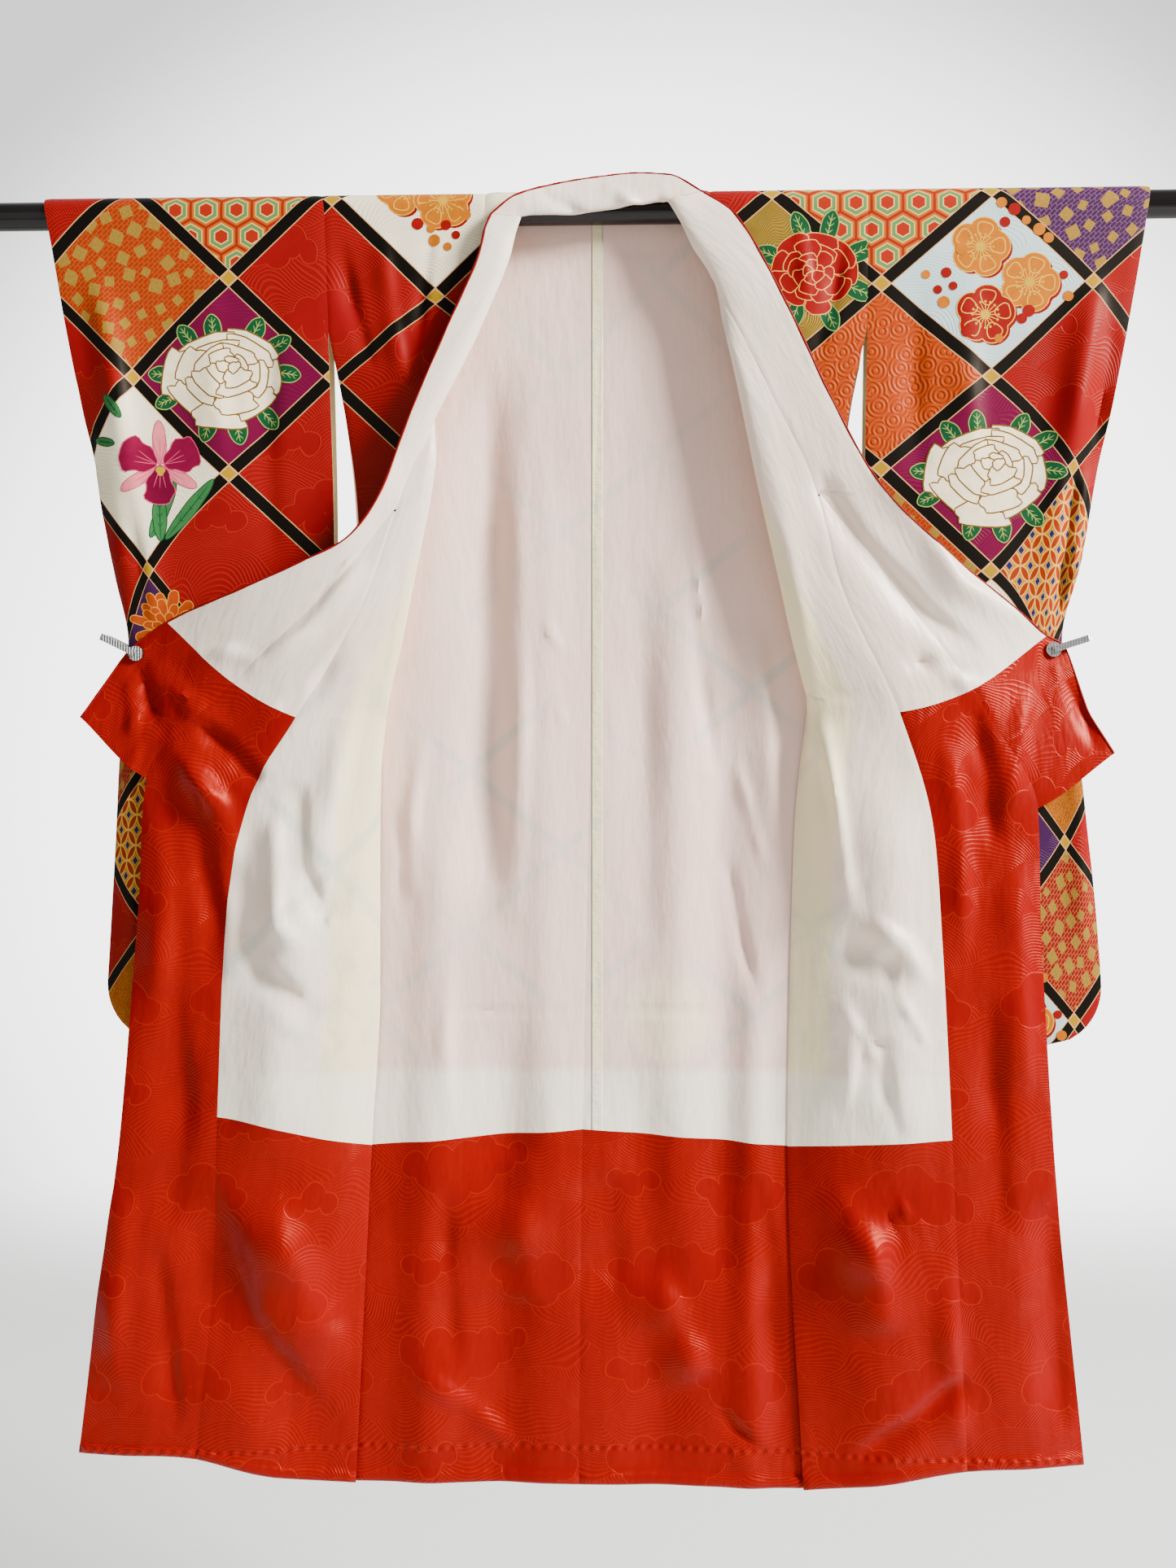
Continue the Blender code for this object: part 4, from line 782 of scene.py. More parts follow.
# The floor, and where it fades out
FLOOR_SIZE = 9.0
FLOOR_HEIGHT = -2.05
FLOOR_GLOW = 0.3
FLOOR_ROUGHNESS = 0.85
FLOOR_FADE = (2.4, 4.3)


# Curves through the tables' rows


def end_free_slopes(stations, values):
    """Slopes of a curve through the values that never swings past them."""
    steps = np.diff(stations)
    rises = np.diff(values) / steps
    slopes = np.zeros(len(values))
    slopes[0] = rises[0]
    slopes[-1] = rises[-1]
    for i in range(1, len(values) - 1):
        before = rises[i - 1]
        after = rises[i]
        if before * after > 0:
            slopes[i] = 2 * before * after / (before + after)
    return slopes


class Curve:
    """A smooth value, or row of values, along a table's first column."""

    def __init__(self, rows):
        table = np.array([tuple(row) for row in rows], dtype=float)
        table = table[np.argsort(table[:, 0])]
        self.stations = table[:, 0]
        self.values = table[:, 1:]
        columns = [end_free_slopes(self.stations, column) for column in self.values.T]
        self.slopes = np.array(columns).T

    def at(self, station):
        """The value at a station, or at the nearest end."""
        station = min(max(station, self.stations[0]), self.stations[-1])
        i = int(np.searchsorted(self.stations, station, side="right")) - 1
        i = min(max(i, 0), len(self.stations) - 2)
        step = self.stations[i + 1] - self.stations[i]
        t = (station - self.stations[i]) / step
        a, b = self.values[i], self.values[i + 1]
        u, v = self.slopes[i] * step, self.slopes[i + 1] * step
        blend = t * t * (3 - 2 * t)
        return a * (1 - blend) + b * blend + u * t * (1 - t) ** 2 - v * t * t * (1 - t)


def through_points(points):
    """A dense smooth path through points, and the dense index of each point."""
    points = np.array(points)
    ends = np.vstack([2 * points[0] - points[1], points, 2 * points[-1] - points[-2]])
    knots = np.concatenate([[0.0], np.cumsum(np.sqrt(np.linalg.norm(np.diff(ends, axis=0), axis=1)))])
    dense = []
    for i in range(1, len(ends) - 2):
        t0, t1, t2, t3 = knots[i - 1 : i + 3]
        p0, p1, p2, p3 = ends[i - 1 : i + 3]
        t = np.linspace(t1, t2, SAMPLES_PER_SPAN, endpoint=False)[:, None]
        a1 = (t1 - t) / (t1 - t0) * p0 + (t - t0) / (t1 - t0) * p1
        a2 = (t2 - t) / (t2 - t1) * p1 + (t - t1) / (t2 - t1) * p2
        a3 = (t3 - t) / (t3 - t2) * p2 + (t - t2) / (t3 - t2) * p3
        b1 = (t2 - t) / (t2 - t0) * a1 + (t - t0) / (t2 - t0) * a2
        b2 = (t3 - t) / (t3 - t1) * a2 + (t - t1) / (t3 - t1) * a3
        dense.append((t2 - t) / (t2 - t1) * b1 + (t - t1) / (t2 - t1) * b2)
    dense.append(points[-1:])
    return np.vstack(dense), [i * SAMPLES_PER_SPAN for i in range(len(points))]


def smooth_step(value):
    """0 below 0, 1 above 1, and a smooth rise between."""
    value = np.clip(value, 0.0, 1.0)
    return value * value * (3 - 2 * value)


def unit(vectors):
    """The vectors' directions."""
    return vectors / np.maximum(np.linalg.norm(vectors, axis=-1, keepdims=True), SMALLEST_LENGTH)


def run_along(path):
    """The length along a path from its start to each of its points."""
    return np.concatenate([[0.0], np.cumsum(np.linalg.norm(np.diff(path, axis=0), axis=1))])


# Curves made once from the tables
SIDE_CURVE = {side: Curve(rows) for side, rows in SIDE.items()}
ROLL_CURVE = {side: Curve(rows) for side, rows in ROLL.items()}
SEAM_CURVE = {side: Curve(rows) for side, rows in FRONT_SEAM.items()}
OKUMI_CURVE = {side: Curve(rows) for side, rows in OKUMI_EDGE.items()}
EDGE_CURVE = {side: Curve(rows) for side, rows in COLLAR_EDGE.items()}
ROLL_SIZE_CURVE = Curve(ROLL_SIZES)
CENTRE_CURVE = Curve(CENTRE_SEAM)
BACK_DEPTH_CURVE = Curve(BACK_EDGE_DEPTH)
NECK_ROLL_CURVE = Curve(NECK_ROLL)
NECK_EDGE_CURVE = Curve(NECK_EDGE)
SLEEVE_OUTER_CURVE = {side: Curve(rows) for side, rows in SLEEVE_OUTER.items()}
SLEEVE_INNER_CURVE = {side: Curve(rows) for side, rows in SLEEVE_INNER.items()}
SLEEVE_GAP_CURVE = Curve(SLEEVE_HALF_GAPS)


# Where the cloth lies


def round_rod(across, arc, facing):
    """A point on the cloth's middle layer, arc mm down from the rod's top, to the front or back."""
    if arc < QUARTER_TURN:
        angle = arc / WRAP_RADIUS
        return np.array([across, facing * WRAP_RADIUS * math.sin(angle), WRAP_RADIUS * math.cos(angle)])
    return np.array([across, facing * WRAP_RADIUS, QUARTER_TURN - arc])


def armhole_seam(side, station, facing):
    """The seam between body and sleeve, from the rod's top to the armhole's lower end."""
    seam = ARMHOLE[side]
    if station <= WRAP_END:
        across = seam.top + (seam.beside_rod - seam.top) * station / WRAP_END
        return round_rod(across, station * WRAP_ARC_STEP, facing)
    part = (station - WRAP_END) / (ARMHOLE_END - WRAP_END)
    return armhole_below_rod(side, -ARMHOLE_DROP * part, facing)


def armhole_below_rod(side, height, facing):
    """The armhole seam beside and below the rod, by height."""
    seam = ARMHOLE[side]
    part = -height / ARMHOLE_DROP
    across = seam.beside_rod + (seam.lower_end - seam.beside_rod) * part
    depth = WRAP_RADIUS + (ARMHOLE_DEPTH - WRAP_RADIUS) * part
    return np.array([across, facing * depth, height])


def front_side(side, station):
    """The front's outer edge: the armhole seam, then the side seam."""
    if station <= ARMHOLE_END:
        return armhole_seam(side, station, -1)
    return SIDE_CURVE[side].at(station)


def front_seam(side, station):
    """The front's inner seam, from the rod's top down."""
    if station < WRAP_END:
        return round_rod(NECK_END[side], station * WRAP_ARC_STEP, -1)
    return SEAM_CURVE[side].at(station)


def fold_rise(folds, x, z):
    """How far the large folds bring points of the cloth towards the viewer."""
    total = np.zeros(np.shape(x))
    for fold in folds:
        length = math.hypot(fold.x1 - fold.x0, fold.z1 - fold.z0)
        way_x, way_z = (fold.x1 - fold.x0) / length, (fold.z1 - fold.z0) / length
        along = (x - fold.x0) * way_x + (z - fold.z0) * way_z
        beside = (x - fold.x0) * way_z - (z - fold.z0) * way_x
        taper = smooth_step(np.minimum(along, length - along) / FOLD_END_TAPER + FOLD_END_PART)
        total = total + fold.rise * taper * np.exp(-((beside / fold.width) ** 2))
    return total


def crease_rise(creases, x, z):
    """How far the fine creases, each on its own bent line, bring points towards the viewer."""
    total = np.zeros(np.shape(x))
    for *line, width, rise in creases:
        line = np.array(line, float).reshape(-1, 2)
        run = run_along(line)
        best = np.full(np.shape(x), np.inf)
        place = np.zeros(np.shape(x))
        turn = np.ones(np.shape(x))
        for i in range(len(line) - 1):
            step = line[i + 1] - line[i]
            length = run[i + 1] - run[i]
            along = ((x - line[i, 0]) * step[0] + (z - line[i, 1]) * step[1]) / length
            along = np.clip(along, 0, length)
            gap_x = x - line[i, 0] - step[0] * along / length
            gap_z = z - line[i, 1] - step[1] * along / length
            gap = np.hypot(gap_x, gap_z)
            nearer = gap < best
            best = np.where(nearer, gap, best)
            place = np.where(nearer, (run[i] + along) / run[-1], place)
            turn = np.where(nearer, np.sign(gap_x * step[1] - gap_z * step[0]), turn)
        swell = 1 + CREASE_SWELL * np.sin(place * CREASE_SWELL_TURNS + width)
        taper = np.sin(np.pi * np.clip(place, 0, 1)) ** CREASE_TAPER
        reach = width * (1 + CREASE_LEAN * turn)
        total = total + CREASE_GAIN * rise * swell * taper * np.exp(-((best / reach) ** 2))
    return total


def kept_off_rod(path, seam_index, roll_index):
    """A section with its points out of the rod: the body's, the collar's and the part turned back."""
    run = run_along(path)
    past_seam = np.clip((run - run[seam_index]) / COLLAR_RAMP, 0, 1)
    past_roll = np.clip((run - run[roll_index]) / COLLAR_RAMP, 0, 1)
    least = WRAP_RADIUS + (COLLAR_WRAP_RADIUS - WRAP_RADIUS) * past_seam
    least += (TURNED_BACK_RADIUS - COLLAR_WRAP_RADIUS) * past_roll
    radius = np.hypot(path[:, 1], path[:, 2])
    moved = path.copy()
    moved[:, 1:] *= np.maximum(1.0, least / radius)[:, None]
    return moved


def roll_points(before, roll, after, half_depth):
    """The three points that turn the cloth back on itself at a rolled fold."""
    inward = unit((before + after) / 2 - roll)
    open_way = before - after
    open_way = unit(open_way - inward * (open_way @ inward))
    near = roll + inward * half_depth * ROLL_INSET
    return [near + open_way * half_depth, roll, near - open_way * half_depth]


def nearest_index(path, point):
    """The number of the path's point that lies nearest to another."""
    return int(np.argmin(np.linalg.norm(path - point, axis=1)))


@functools.cache
def section(side, station):
    """A section across a front: its path, the folds' share at each point, and its lines' places."""
    start = front_side(side, station)
    roll = ROLL_CURVE[side].at(station)
    seam = front_seam(side, station)
    half_depth = float(ROLL_SIZE_CURVE.at(station)[0])
    beyond = []
    if station > OKUMI_TIP:
        beyond.append(("okumi", OKUMI_CURVE[side].at(station)))
    if station <= COLLAR_END:
        beyond.append(("free", EDGE_CURVE[side].at(station)))
    seam_first = station < SEAM_CROSSING[side]
    before = seam if seam_first else start
    after = beyond[0][1] if seam_first else seam
    near_roll = np.linalg.norm(seam - roll) < SEAM_NEAR_ROLL * max(half_depth, SMALLEST_ROLL)
    if near_roll:
        before = start
        after = beyond[0][1]
    vias = [("side", start)]
    if seam_first and not near_roll:
        vias.append(("seam", seam))
    if half_depth > SMALLEST_ROLL:
        vias += [("roll", point) for point in roll_points(before, roll, after, half_depth)]
    else:
        vias.append(("roll", roll))
    if not seam_first and not near_roll:
        vias.append(("seam", seam))
    vias += beyond
    path, indices = through_points([point for _, point in vias])
    marks = {name: index for (name, _), index in zip(vias, indices)}
    if near_roll:
        marks["seam"] = nearest_index(path, seam)
    path = kept_off_rod(path, marks["seam"], marks["roll"])
    if station < WRAP_END:
        shoulder = np.linspace(0, 1, marks["seam"] + 1)[:, None]
        path[: marks["seam"] + 1] = start + (seam - start) * shoulder
    places = np.arange(len(path))
    settled = np.clip((places - marks["roll"]) / SAMPLES_PER_SPAN, 0, 1)
    from_side = np.clip(places / marks["roll"], 0, 1)
    settled += (from_side - settled) * smooth_step((station - RED_BORDER) / SETTLING_STATIONS)
    path[:, 1] -= settled * fold_rise(FRONT_FOLDS[side], path[:, 0], path[:, 2])
    return path, settled, marks


def neckline_dip(across):
    """How far down its back the neckline lies from the rod's top, along the cloth."""
    middle = (NECK_END["left"] + NECK_END["right"]) / 2
    half = (NECK_END["right"] - NECK_END["left"]) / 2
    part = np.minimum(1.0, np.abs(across - middle) / half)
    return NECK_DIP * (1 - part * part) ** NECK_DIP_POWER


def neck_section(across):
    """One section of the collar behind the neck, from its seam, over the rod, to its free edge."""
    dip = float(neckline_dip(across))
    seam = round_rod(across, dip, 1)
    roll = NECK_ROLL_CURVE.at(across)
    free = NECK_EDGE_CURVE.at(across)
    vias = [seam]
    if dip > OVER_ROD_FROM_DIP:
        vias.append(np.array([(across + roll[0]) / 2, -2.0, COLLAR_WRAP_RADIUS]))
    vias += roll_points(vias[-1], roll, free, NECK_HALF_DEPTH) + [free]
    path, indices = through_points(vias)
    return kept_off_rod(path, 0, indices[-3])


def columns_between(path, first, last, count):
    """Places along a path between two of its points, closer together where it bends."""
    ways = unit(np.gradient(path, axis=0))[first : last + 1]
    lengths = np.linalg.norm(np.diff(path[first : last + 1], axis=0), axis=1)
    bends = np.arccos(np.clip(np.sum(ways[1:] * ways[:-1], axis=1), -1, 1))
    weights = np.concatenate([[0.0], np.cumsum(lengths + BEND_WEIGHT * bends)])
    even = np.linspace(0, weights[-1], count + 1)
    return first + np.interp(even, weights, np.arange(last + 1 - first))


def picked(path, places):
    """The values of a path, or of anything measured along it, at places between its points."""
    rows = np.arange(len(path))
    if path.ndim == 1:
        return np.interp(places, rows, path)
    return np.array([np.interp(places, rows, path[:, axis]) for axis in range(path.shape[1])]).T


def cloth_below_shoulder(points, facing):
    """How far down the cloth each point is from the shoulder, below 0 at the back (facing -1).

    Where facing is 0, a point's own depth says whether it is at the front or the back.
    """
    if facing == 0:
        facing = np.where(points[..., 1] <= 0, 1.0, -1.0)
    depth, height = np.abs(points[..., 1]), points[..., 2]
    over = WRAP_RADIUS * np.arctan2(depth, np.maximum(height, SMALLEST_HEIGHT))
    return facing * np.where(height > 0, np.minimum(over, QUARTER_TURN), QUARTER_TURN - height)


class Sheet:
    """Points on the cloth's middle layer, the way its outer face looks, and its flat coordinates."""

    def __init__(self, rows, flip, facing, across=None):
        self.points = np.array(rows)
        self.flip = flip
        self.across = self.points[..., 0].copy() if across is None else np.array(across)
        self.down = cloth_below_shoulder(self.points, facing)
        self.turn_normals()

    def turn_normals(self):
        """Finds the way the outer face looks at each point."""
        along = np.gradient(self.points, axis=0, edge_order=2)
        beside = np.gradient(self.points, axis=1, edge_order=2)
        self.normals = unit(np.cross(beside, along) * self.flip)

    def creased(self, creases, share=1.0):
        """Moves the sheet along its fine creases."""
        rise = crease_rise(creases, self.points[..., 0], self.points[..., 2])
        rise = np.where(rise < 0, -DEEPEST_CREASE * np.tanh(-rise / DEEPEST_CREASE), rise)
        self.points[..., 1] -= rise * share
        self.turn_normals()
        return self

    def from_sides(self):
        """The distance of each point from the nearer of the sheet's two long edges."""
        steps = np.linalg.norm(np.diff(self.points, axis=1), axis=2)
        run = np.concatenate([np.zeros((len(steps), 1)), np.cumsum(steps, axis=1)], axis=1)
        return np.minimum(run, run[:, -1:] - run)


def fine_stations(side, first, last):
    """Stations close together from one to another, about a row's step apart at the side edge."""
    marks = sorted({first, last, *range(math.ceil(first), math.floor(last) + 1)})
    stations = []
    for here, there in zip(marks, marks[1:]):
        length = np.linalg.norm(front_side(side, there) - front_side(side, here))
        count = max(1, math.ceil(length / ROW_STEP))
        stations += list(np.linspace(here, there, count, endpoint=False))
    return stations + [last]


def eased(side, stations, values):
    """Rows of values, smoothed where the collar seam passes over the rolled fold."""
    near = np.abs(np.array(stations) - SEAM_CROSSING[side]) / EASED_STATIONS
    amount = smooth_step(EASED_FALL - near).reshape((-1,) + (1,) * (values.ndim - 1))
    for _ in range(EASING_ROUNDS):
        mean = values.copy()
        mean[1:-1] = (values[:-2] + 2 * values[1:-1] + values[2:]) / 4
        values = values + (mean - values) * amount
    return values


def front_sheet(side, stations, first, last, count):
    """A piece of a front, between two lines of its sections, with the creases of the part turned back."""
    turn = -1 if side == "left" else 1
    rows, shares, across = [], [], []
    for station in stations:
        path, settled, marks = section(side, station)
        if first == "collar":
            begin = marks["seam"] if station <= OKUMI_START else marks["okumi"]
        else:
            begin = marks[first]
        places = columns_between(path, begin, marks[last], count)
        rows.append(picked(path, places))
        shares.append(picked(settled, places))
        across.append(path[0, 0] - turn * picked(run_along(path), places))
    rows, shares, across = (eased(side, stations, np.array(part)) for part in (rows, shares, across))
    sheet = Sheet(rows, turn, 1, across)
    sheet.shares = shares
    sheet.creased(FLAP_CREASES[side], shares)
    sheet.creased(SHOULDER_CREASES[side], 1 - shares)
    return sheet


def neck_sheet():
    """The collar behind the neck, which runs into the first rows of the collar's two sides."""
    ends = {side: front_sheet(side, NECK_JOIN, "collar", "free", NECK_COLUMNS) for side in NECK_END}
    rows = []
    for across in np.linspace(NECK_END["left"], NECK_END["right"], NECK_ROWS):
        path = neck_section(across)
        row = picked(path, columns_between(path, 0, len(path) - 1, NECK_COLUMNS))
        for side, end in NECK_END.items():
            near = 1 - smooth_step(abs(across - end) / NECK_END_BLEND)
            row = row + (ends[side].points[0] - row) * near
        rows.append(row)
    return Sheet(rows, 1, 0).creased(NECK_CREASES)


def back_edge(side, station):
    """The back's outer edge, a little wider than the front's."""
    if station <= ARMHOLE_END:
        return armhole_seam(side, station, 1)
    edge = SIDE_CURVE[side].at(station)
    edge[0] += math.copysign(BACK_REACHES_OUT * min(1.0, station - ARMHOLE_END), edge[0])
    edge[1] = BACK_DEPTH_CURVE.at(station)[0]
    return edge


def back_row(side, station):
    """A row of the back from its centre seam to its side edge."""
    edge = back_edge(side, station)
    centre = CENTRE_CURVE.at(station)
    part = np.linspace(0, 1, BACK_COLUMNS + 1)
    neck_part = [NECK_CENTRE + (NECK_END[side] - NECK_CENTRE) * share for share in NECK_PARTS]
    shoulder = np.linspace(NECK_END[side], edge[0], SHOULDER_COLUMNS + 1)[1:]
    coarse = np.concatenate([neck_part, shoulder])
    top = np.interp(part * (len(coarse) - 1), np.arange(len(coarse)), coarse)
    even = centre[0] + (edge[0] - centre[0]) * part
    evened = smooth_step((station - BACK_WRAP_END) / (EVEN_COLUMNS_FROM - BACK_WRAP_END))
    across = top + (even - top) * evened
    if station <= BACK_WRAP_END:
        top_arc = WRAP_ARC_STEP * min(station, WRAP_END)
        end_arc = QUARTER_TURN - CENTRE_CURVE.at(BACK_WRAP_END)[2]
        if station > WRAP_END:
            top_arc += (end_arc - top_arc) * (station - WRAP_END)
        dips = neckline_dip(across)
        arcs = dips + (end_arc - dips) * top_arc / end_arc
        points = np.array([round_rod(x, arc, 1) for x, arc in zip(across, arcs)])
        points[-1] = edge
        return points
    share = (across - centre[0]) / (edge[0] - centre[0])
    points = centre + (edge - centre) * share[:, None]
    settled = min(1.0, (station - BACK_WRAP_END) / FOLD_START_STATIONS)
    settled = settled * np.minimum(1.0, (1 - share) / FOLD_EDGE_PART)
    points[:, 1] -= settled * fold_rise(BACK_FOLDS, points[:, 0], points[:, 2])
    points[-1] = edge
    return points


def back_sheet(side, stations):
    """Half of the back, with its creases held flat at the side edge."""
    rows = [back_row(side, station) for station in stations]
    sheet = Sheet(rows, -1 if side == "left" else 1, -1)
    below = smooth_step((np.array(stations) - BACK_WRAP_END) / FOLD_START_STATIONS)
    held = smooth_step(np.linspace(1, 0, BACK_COLUMNS + 1) / FOLD_EDGE_PART)
    return sheet.creased(BACK_CREASES, below[:, None] * held[None, :])


def sleeve_outer_edge(side, height):
    """The outer edge, drawn in round the sleeve's lower corner."""
    across = float(SLEEVE_OUTER_CURVE[side].at(height)[0])
    above_bottom = height - SLEEVE_BOTTOM
    if above_bottom >= SLEEVE_CORNER_RADIUS:
        return across
    fall = SLEEVE_CORNER_RADIUS - above_bottom
    inward = SLEEVE_CORNER_RADIUS - math.sqrt(max(0.0, SLEEVE_CORNER_RADIUS**2 - fall**2))
    return across - math.copysign(inward, across)


def sleeve_row(side, kind, value, facing):
    """A row of a sleeve layer from the armhole side to the cuff side, and its flat coordinate across."""
    part = np.linspace(0, 1, SLEEVE_COLUMNS + 1)
    if kind == "arc":
        start = armhole_seam(side, value / WRAP_ARC_STEP, facing)
        outer = sleeve_outer_edge(side, start[2])
        points = np.repeat(start[None, :], len(part), axis=0)
        points[:, 0] += (outer - start[0]) * part
        return points, points[:, 0]
    height = value
    if height >= -ARMHOLE_DROP:
        inner = armhole_below_rod(side, height, facing)[0]
    else:
        inner = float(SLEEVE_INNER_CURVE[side].at(height)[0])
    outer = sleeve_outer_edge(side, height)
    across = inner + (outer - inner) * part
    half = float(SLEEVE_GAP_CURVE.at(height)[0])
    closed = smooth_step((CUFF_OPEN_TO - height) / (CUFF_OPEN_TO - CUFF_CLOSED_BELOW))
    shape = 1 - closed * (1 - np.sqrt(1 - part**4))
    rise = min(1.0, (height - SLEEVE_BOTTOM) / BOTTOM_CLOSING)
    shape = shape * math.sqrt(1 - (1 - rise) ** 2)
    half = half * shape + CLOSED_HALF * (1 - shape)
    settled = smooth_step(-height / ARMHOLE_DROP - FOLD_EDGE_PART) * smooth_step(part / FOLD_EDGE_PART)
    depth = facing * half - settled * fold_rise(SLEEVE_FOLDS[side], across, height)
    points = np.stack([across, depth, np.full(len(part), height)], axis=1)
    edge = float(SLEEVE_OUTER_CURVE[side].at(height)[0])
    width = abs(edge - inner)
    from_inner = np.abs(across - inner)
    drawn_in = np.clip((from_inner - DRAWN_IN_FROM) / (width - DRAWN_IN_FROM), 0, 1) ** 2
    spare = max(0.0, SLEEVE_CLOTH_WIDTH - width)
    return points, across + math.copysign(1.0, outer) * spare * drawn_in


def sleeve_sheet(side, facing):
    """A sleeve's front or back layer, from the rod's top down to its lower edge."""
    rows, across = [], []
    arcs = np.linspace(0, WRAP_END * WRAP_ARC_STEP, SLEEVE_WRAP_ROWS)
    heights = np.linspace(0, SLEEVE_BOTTOM, SLEEVE_ROWS)[1:]
    for kind, values in (("arc", arcs), ("height", heights)):
        for value in values:
            points, flat = sleeve_row(side, kind, value, facing)
            rows.append(points)
            across.append(flat)
    outward = 1 if side == "left" else -1
    sheet = Sheet(rows, -outward * facing, -facing, across)
    hang = smooth_step(-sheet.points[..., 2] / ARMHOLE_DROP - FOLD_EDGE_PART)
    held = smooth_step(np.linspace(0, 1, SLEEVE_COLUMNS + 1) / FOLD_EDGE_PART)[None, :]
    creases = SLEEVE_CREASES[side] if facing < 0 else SLEEVE_BACK_CREASES[side]
    return sheet.creased(creases, hang * held)


# Shells of cloth


def offset_layers(sheet, low, high, sewn):
    """The two faces of a shell, which draw together beside its sewn edges."""
    draw = np.exp(-((sheet.from_sides() / SEAM_REACH) ** 2)) if sewn else np.zeros(sheet.points.shape[:2])
    rows = len(sheet.points)
    low = np.broadcast_to(np.asarray(low, float), (rows,))[:, None]
    high = np.broadcast_to(np.asarray(high, float), (rows,))[:, None]
    outer = np.maximum(np.abs(low), np.abs(high)) * draw * SEAM_DRAW
    low = np.where(np.abs(low) > np.abs(high), low + outer, low)
    high = np.where(np.abs(high) >= np.abs(low), high - outer, high)
    return [sheet.points + sheet.normals * offset[..., None] for offset in (low, high)]


def linked(name, data):
    """A new object in the scene."""
    obj = bpy.data.objects.new(name, data)
    bpy.context.scene.collection.objects.link(obj)
    return obj


def mesh_object(name, vertices, faces, finishes):
    """A smooth mesh from vertices in millimetres, with its materials."""
    mesh = bpy.data.meshes.new(name)
    mesh.from_pydata((np.array(vertices) * MM).tolist(), [], faces)
    for finish in finishes:
        mesh.materials.append(finish)
    mesh.shade_smooth()
    return linked(name, mesh)


def corners_of(grid):
    """The four corners of each of a grid's facets."""
    return grid[:-1, :-1], grid[1:, :-1], grid[1:, 1:], grid[:-1, 1:]


def shell(name, sheet, low, high, slot, finishes, chosen=None, sewn=True):
    """A thin closed shell of cloth. Chosen gives each facet's finish, or all have the first one."""
    rows, columns = sheet.points.shape[:2]
    layers = offset_layers(sheet, low, high, sewn)
    vertices = np.concatenate([layer.reshape(-1, 3) for layer in layers])
    count = rows * columns
    grid = np.arange(count).reshape(rows, columns)
    quads = np.stack(corners_of(grid), axis=-1).reshape(-1, 4)
    rims = [grid[0], grid[-1][::-1], grid[:, 0][::-1], grid[:, -1]]
    rim_quads = [
        np.stack([line[:-1], line[1:], line[1:] + count, line[:-1] + count], axis=-1) for line in rims
    ]
    faces = np.concatenate([quads, quads[:, ::-1] + count, *rim_quads])
    if sheet.flip < 0:
        faces = faces[:, ::-1]
    obj = mesh_object(name, vertices, faces.tolist(), finishes)
    mesh = obj.data
    if chosen is not None:
        facing = np.concatenate([chosen.ravel(), chosen.ravel()])
        indices = np.zeros(len(mesh.polygons), np.int32)
        indices[: len(facing)] = facing
        mesh.polygons.foreach_set("material_index", indices)
    corners = np.zeros(len(mesh.loops), np.int32)
    mesh.loops.foreach_get("vertex_index", corners)
    add_map(mesh, CLOTH_MAP, np.stack([sheet.across, sheet.down], axis=-1) * MM, corners)
    if hasattr(sheet, "lattice"):
        add_map(mesh, LATTICE_MAP, sheet.lattice, corners)
    mesh.set_sharp_from_angle(angle=math.radians(SHARP_DEGREES))
    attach(obj, "root")
    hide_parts(name.removesuffix("_silk"))
    return obj


def add_map(mesh, name, places, corners):
    """A UV map with a place for each vertex of the shell's two faces."""
    flat = np.tile(places.reshape(-1, 2), (2, 1))
    layer = mesh.uv_layers.new(name=name)
    layer.uv.foreach_set("vector", flat[corners].astype(np.float32).ravel())


def hem_offsets(stations):
    """The two offsets of each row of the hem lining, which swells into a padded roll."""
    part = np.clip((np.array(stations) - ROLL_START) / (HEM - ROLL_START), 0, 1)
    swell = np.sqrt(np.clip(1 - (2 * part - 1) ** 2, 0, 1)) * (part > 0)
    low = LINING_SHELL[0] - HEM_ROLL_LOW * swell
    high = LINING_SHELL[1] + HEM_ROLL_HIGH * swell * smooth_step(part * 2)
    return low, high


def hem_stations(side, first):
    """Rows of the hem lining, closer together round its padded roll."""
    roll = list(np.linspace(ROLL_START, HEM, HEM_ROLL_ROWS))
    return fine_stations(side, first, ROLL_START)[:-1] + roll


# Materials


class Value:
    """A number or vector that a node gives. Sums and products with it make further nodes."""

    def __init__(self, graph, socket):
        self.graph = graph
        self.socket = socket

    def __add__(self, other):
        return self.graph.math("ADD", self, other)

    def __sub__(self, other):
        return self.graph.math("SUBTRACT", self, other)

    def __rsub__(self, other):
        return self.graph.math("SUBTRACT", other, self)

    def __mul__(self, other):
        return self.graph.math("MULTIPLY", self, other)

    def __truediv__(self, other):
        return self.graph.math("DIVIDE", self, other)

    def __mod__(self, other):
        return self.graph.math("FLOORED_MODULO", self, other)

    def __abs__(self):
        return self.graph.math("ABSOLUTE", self)


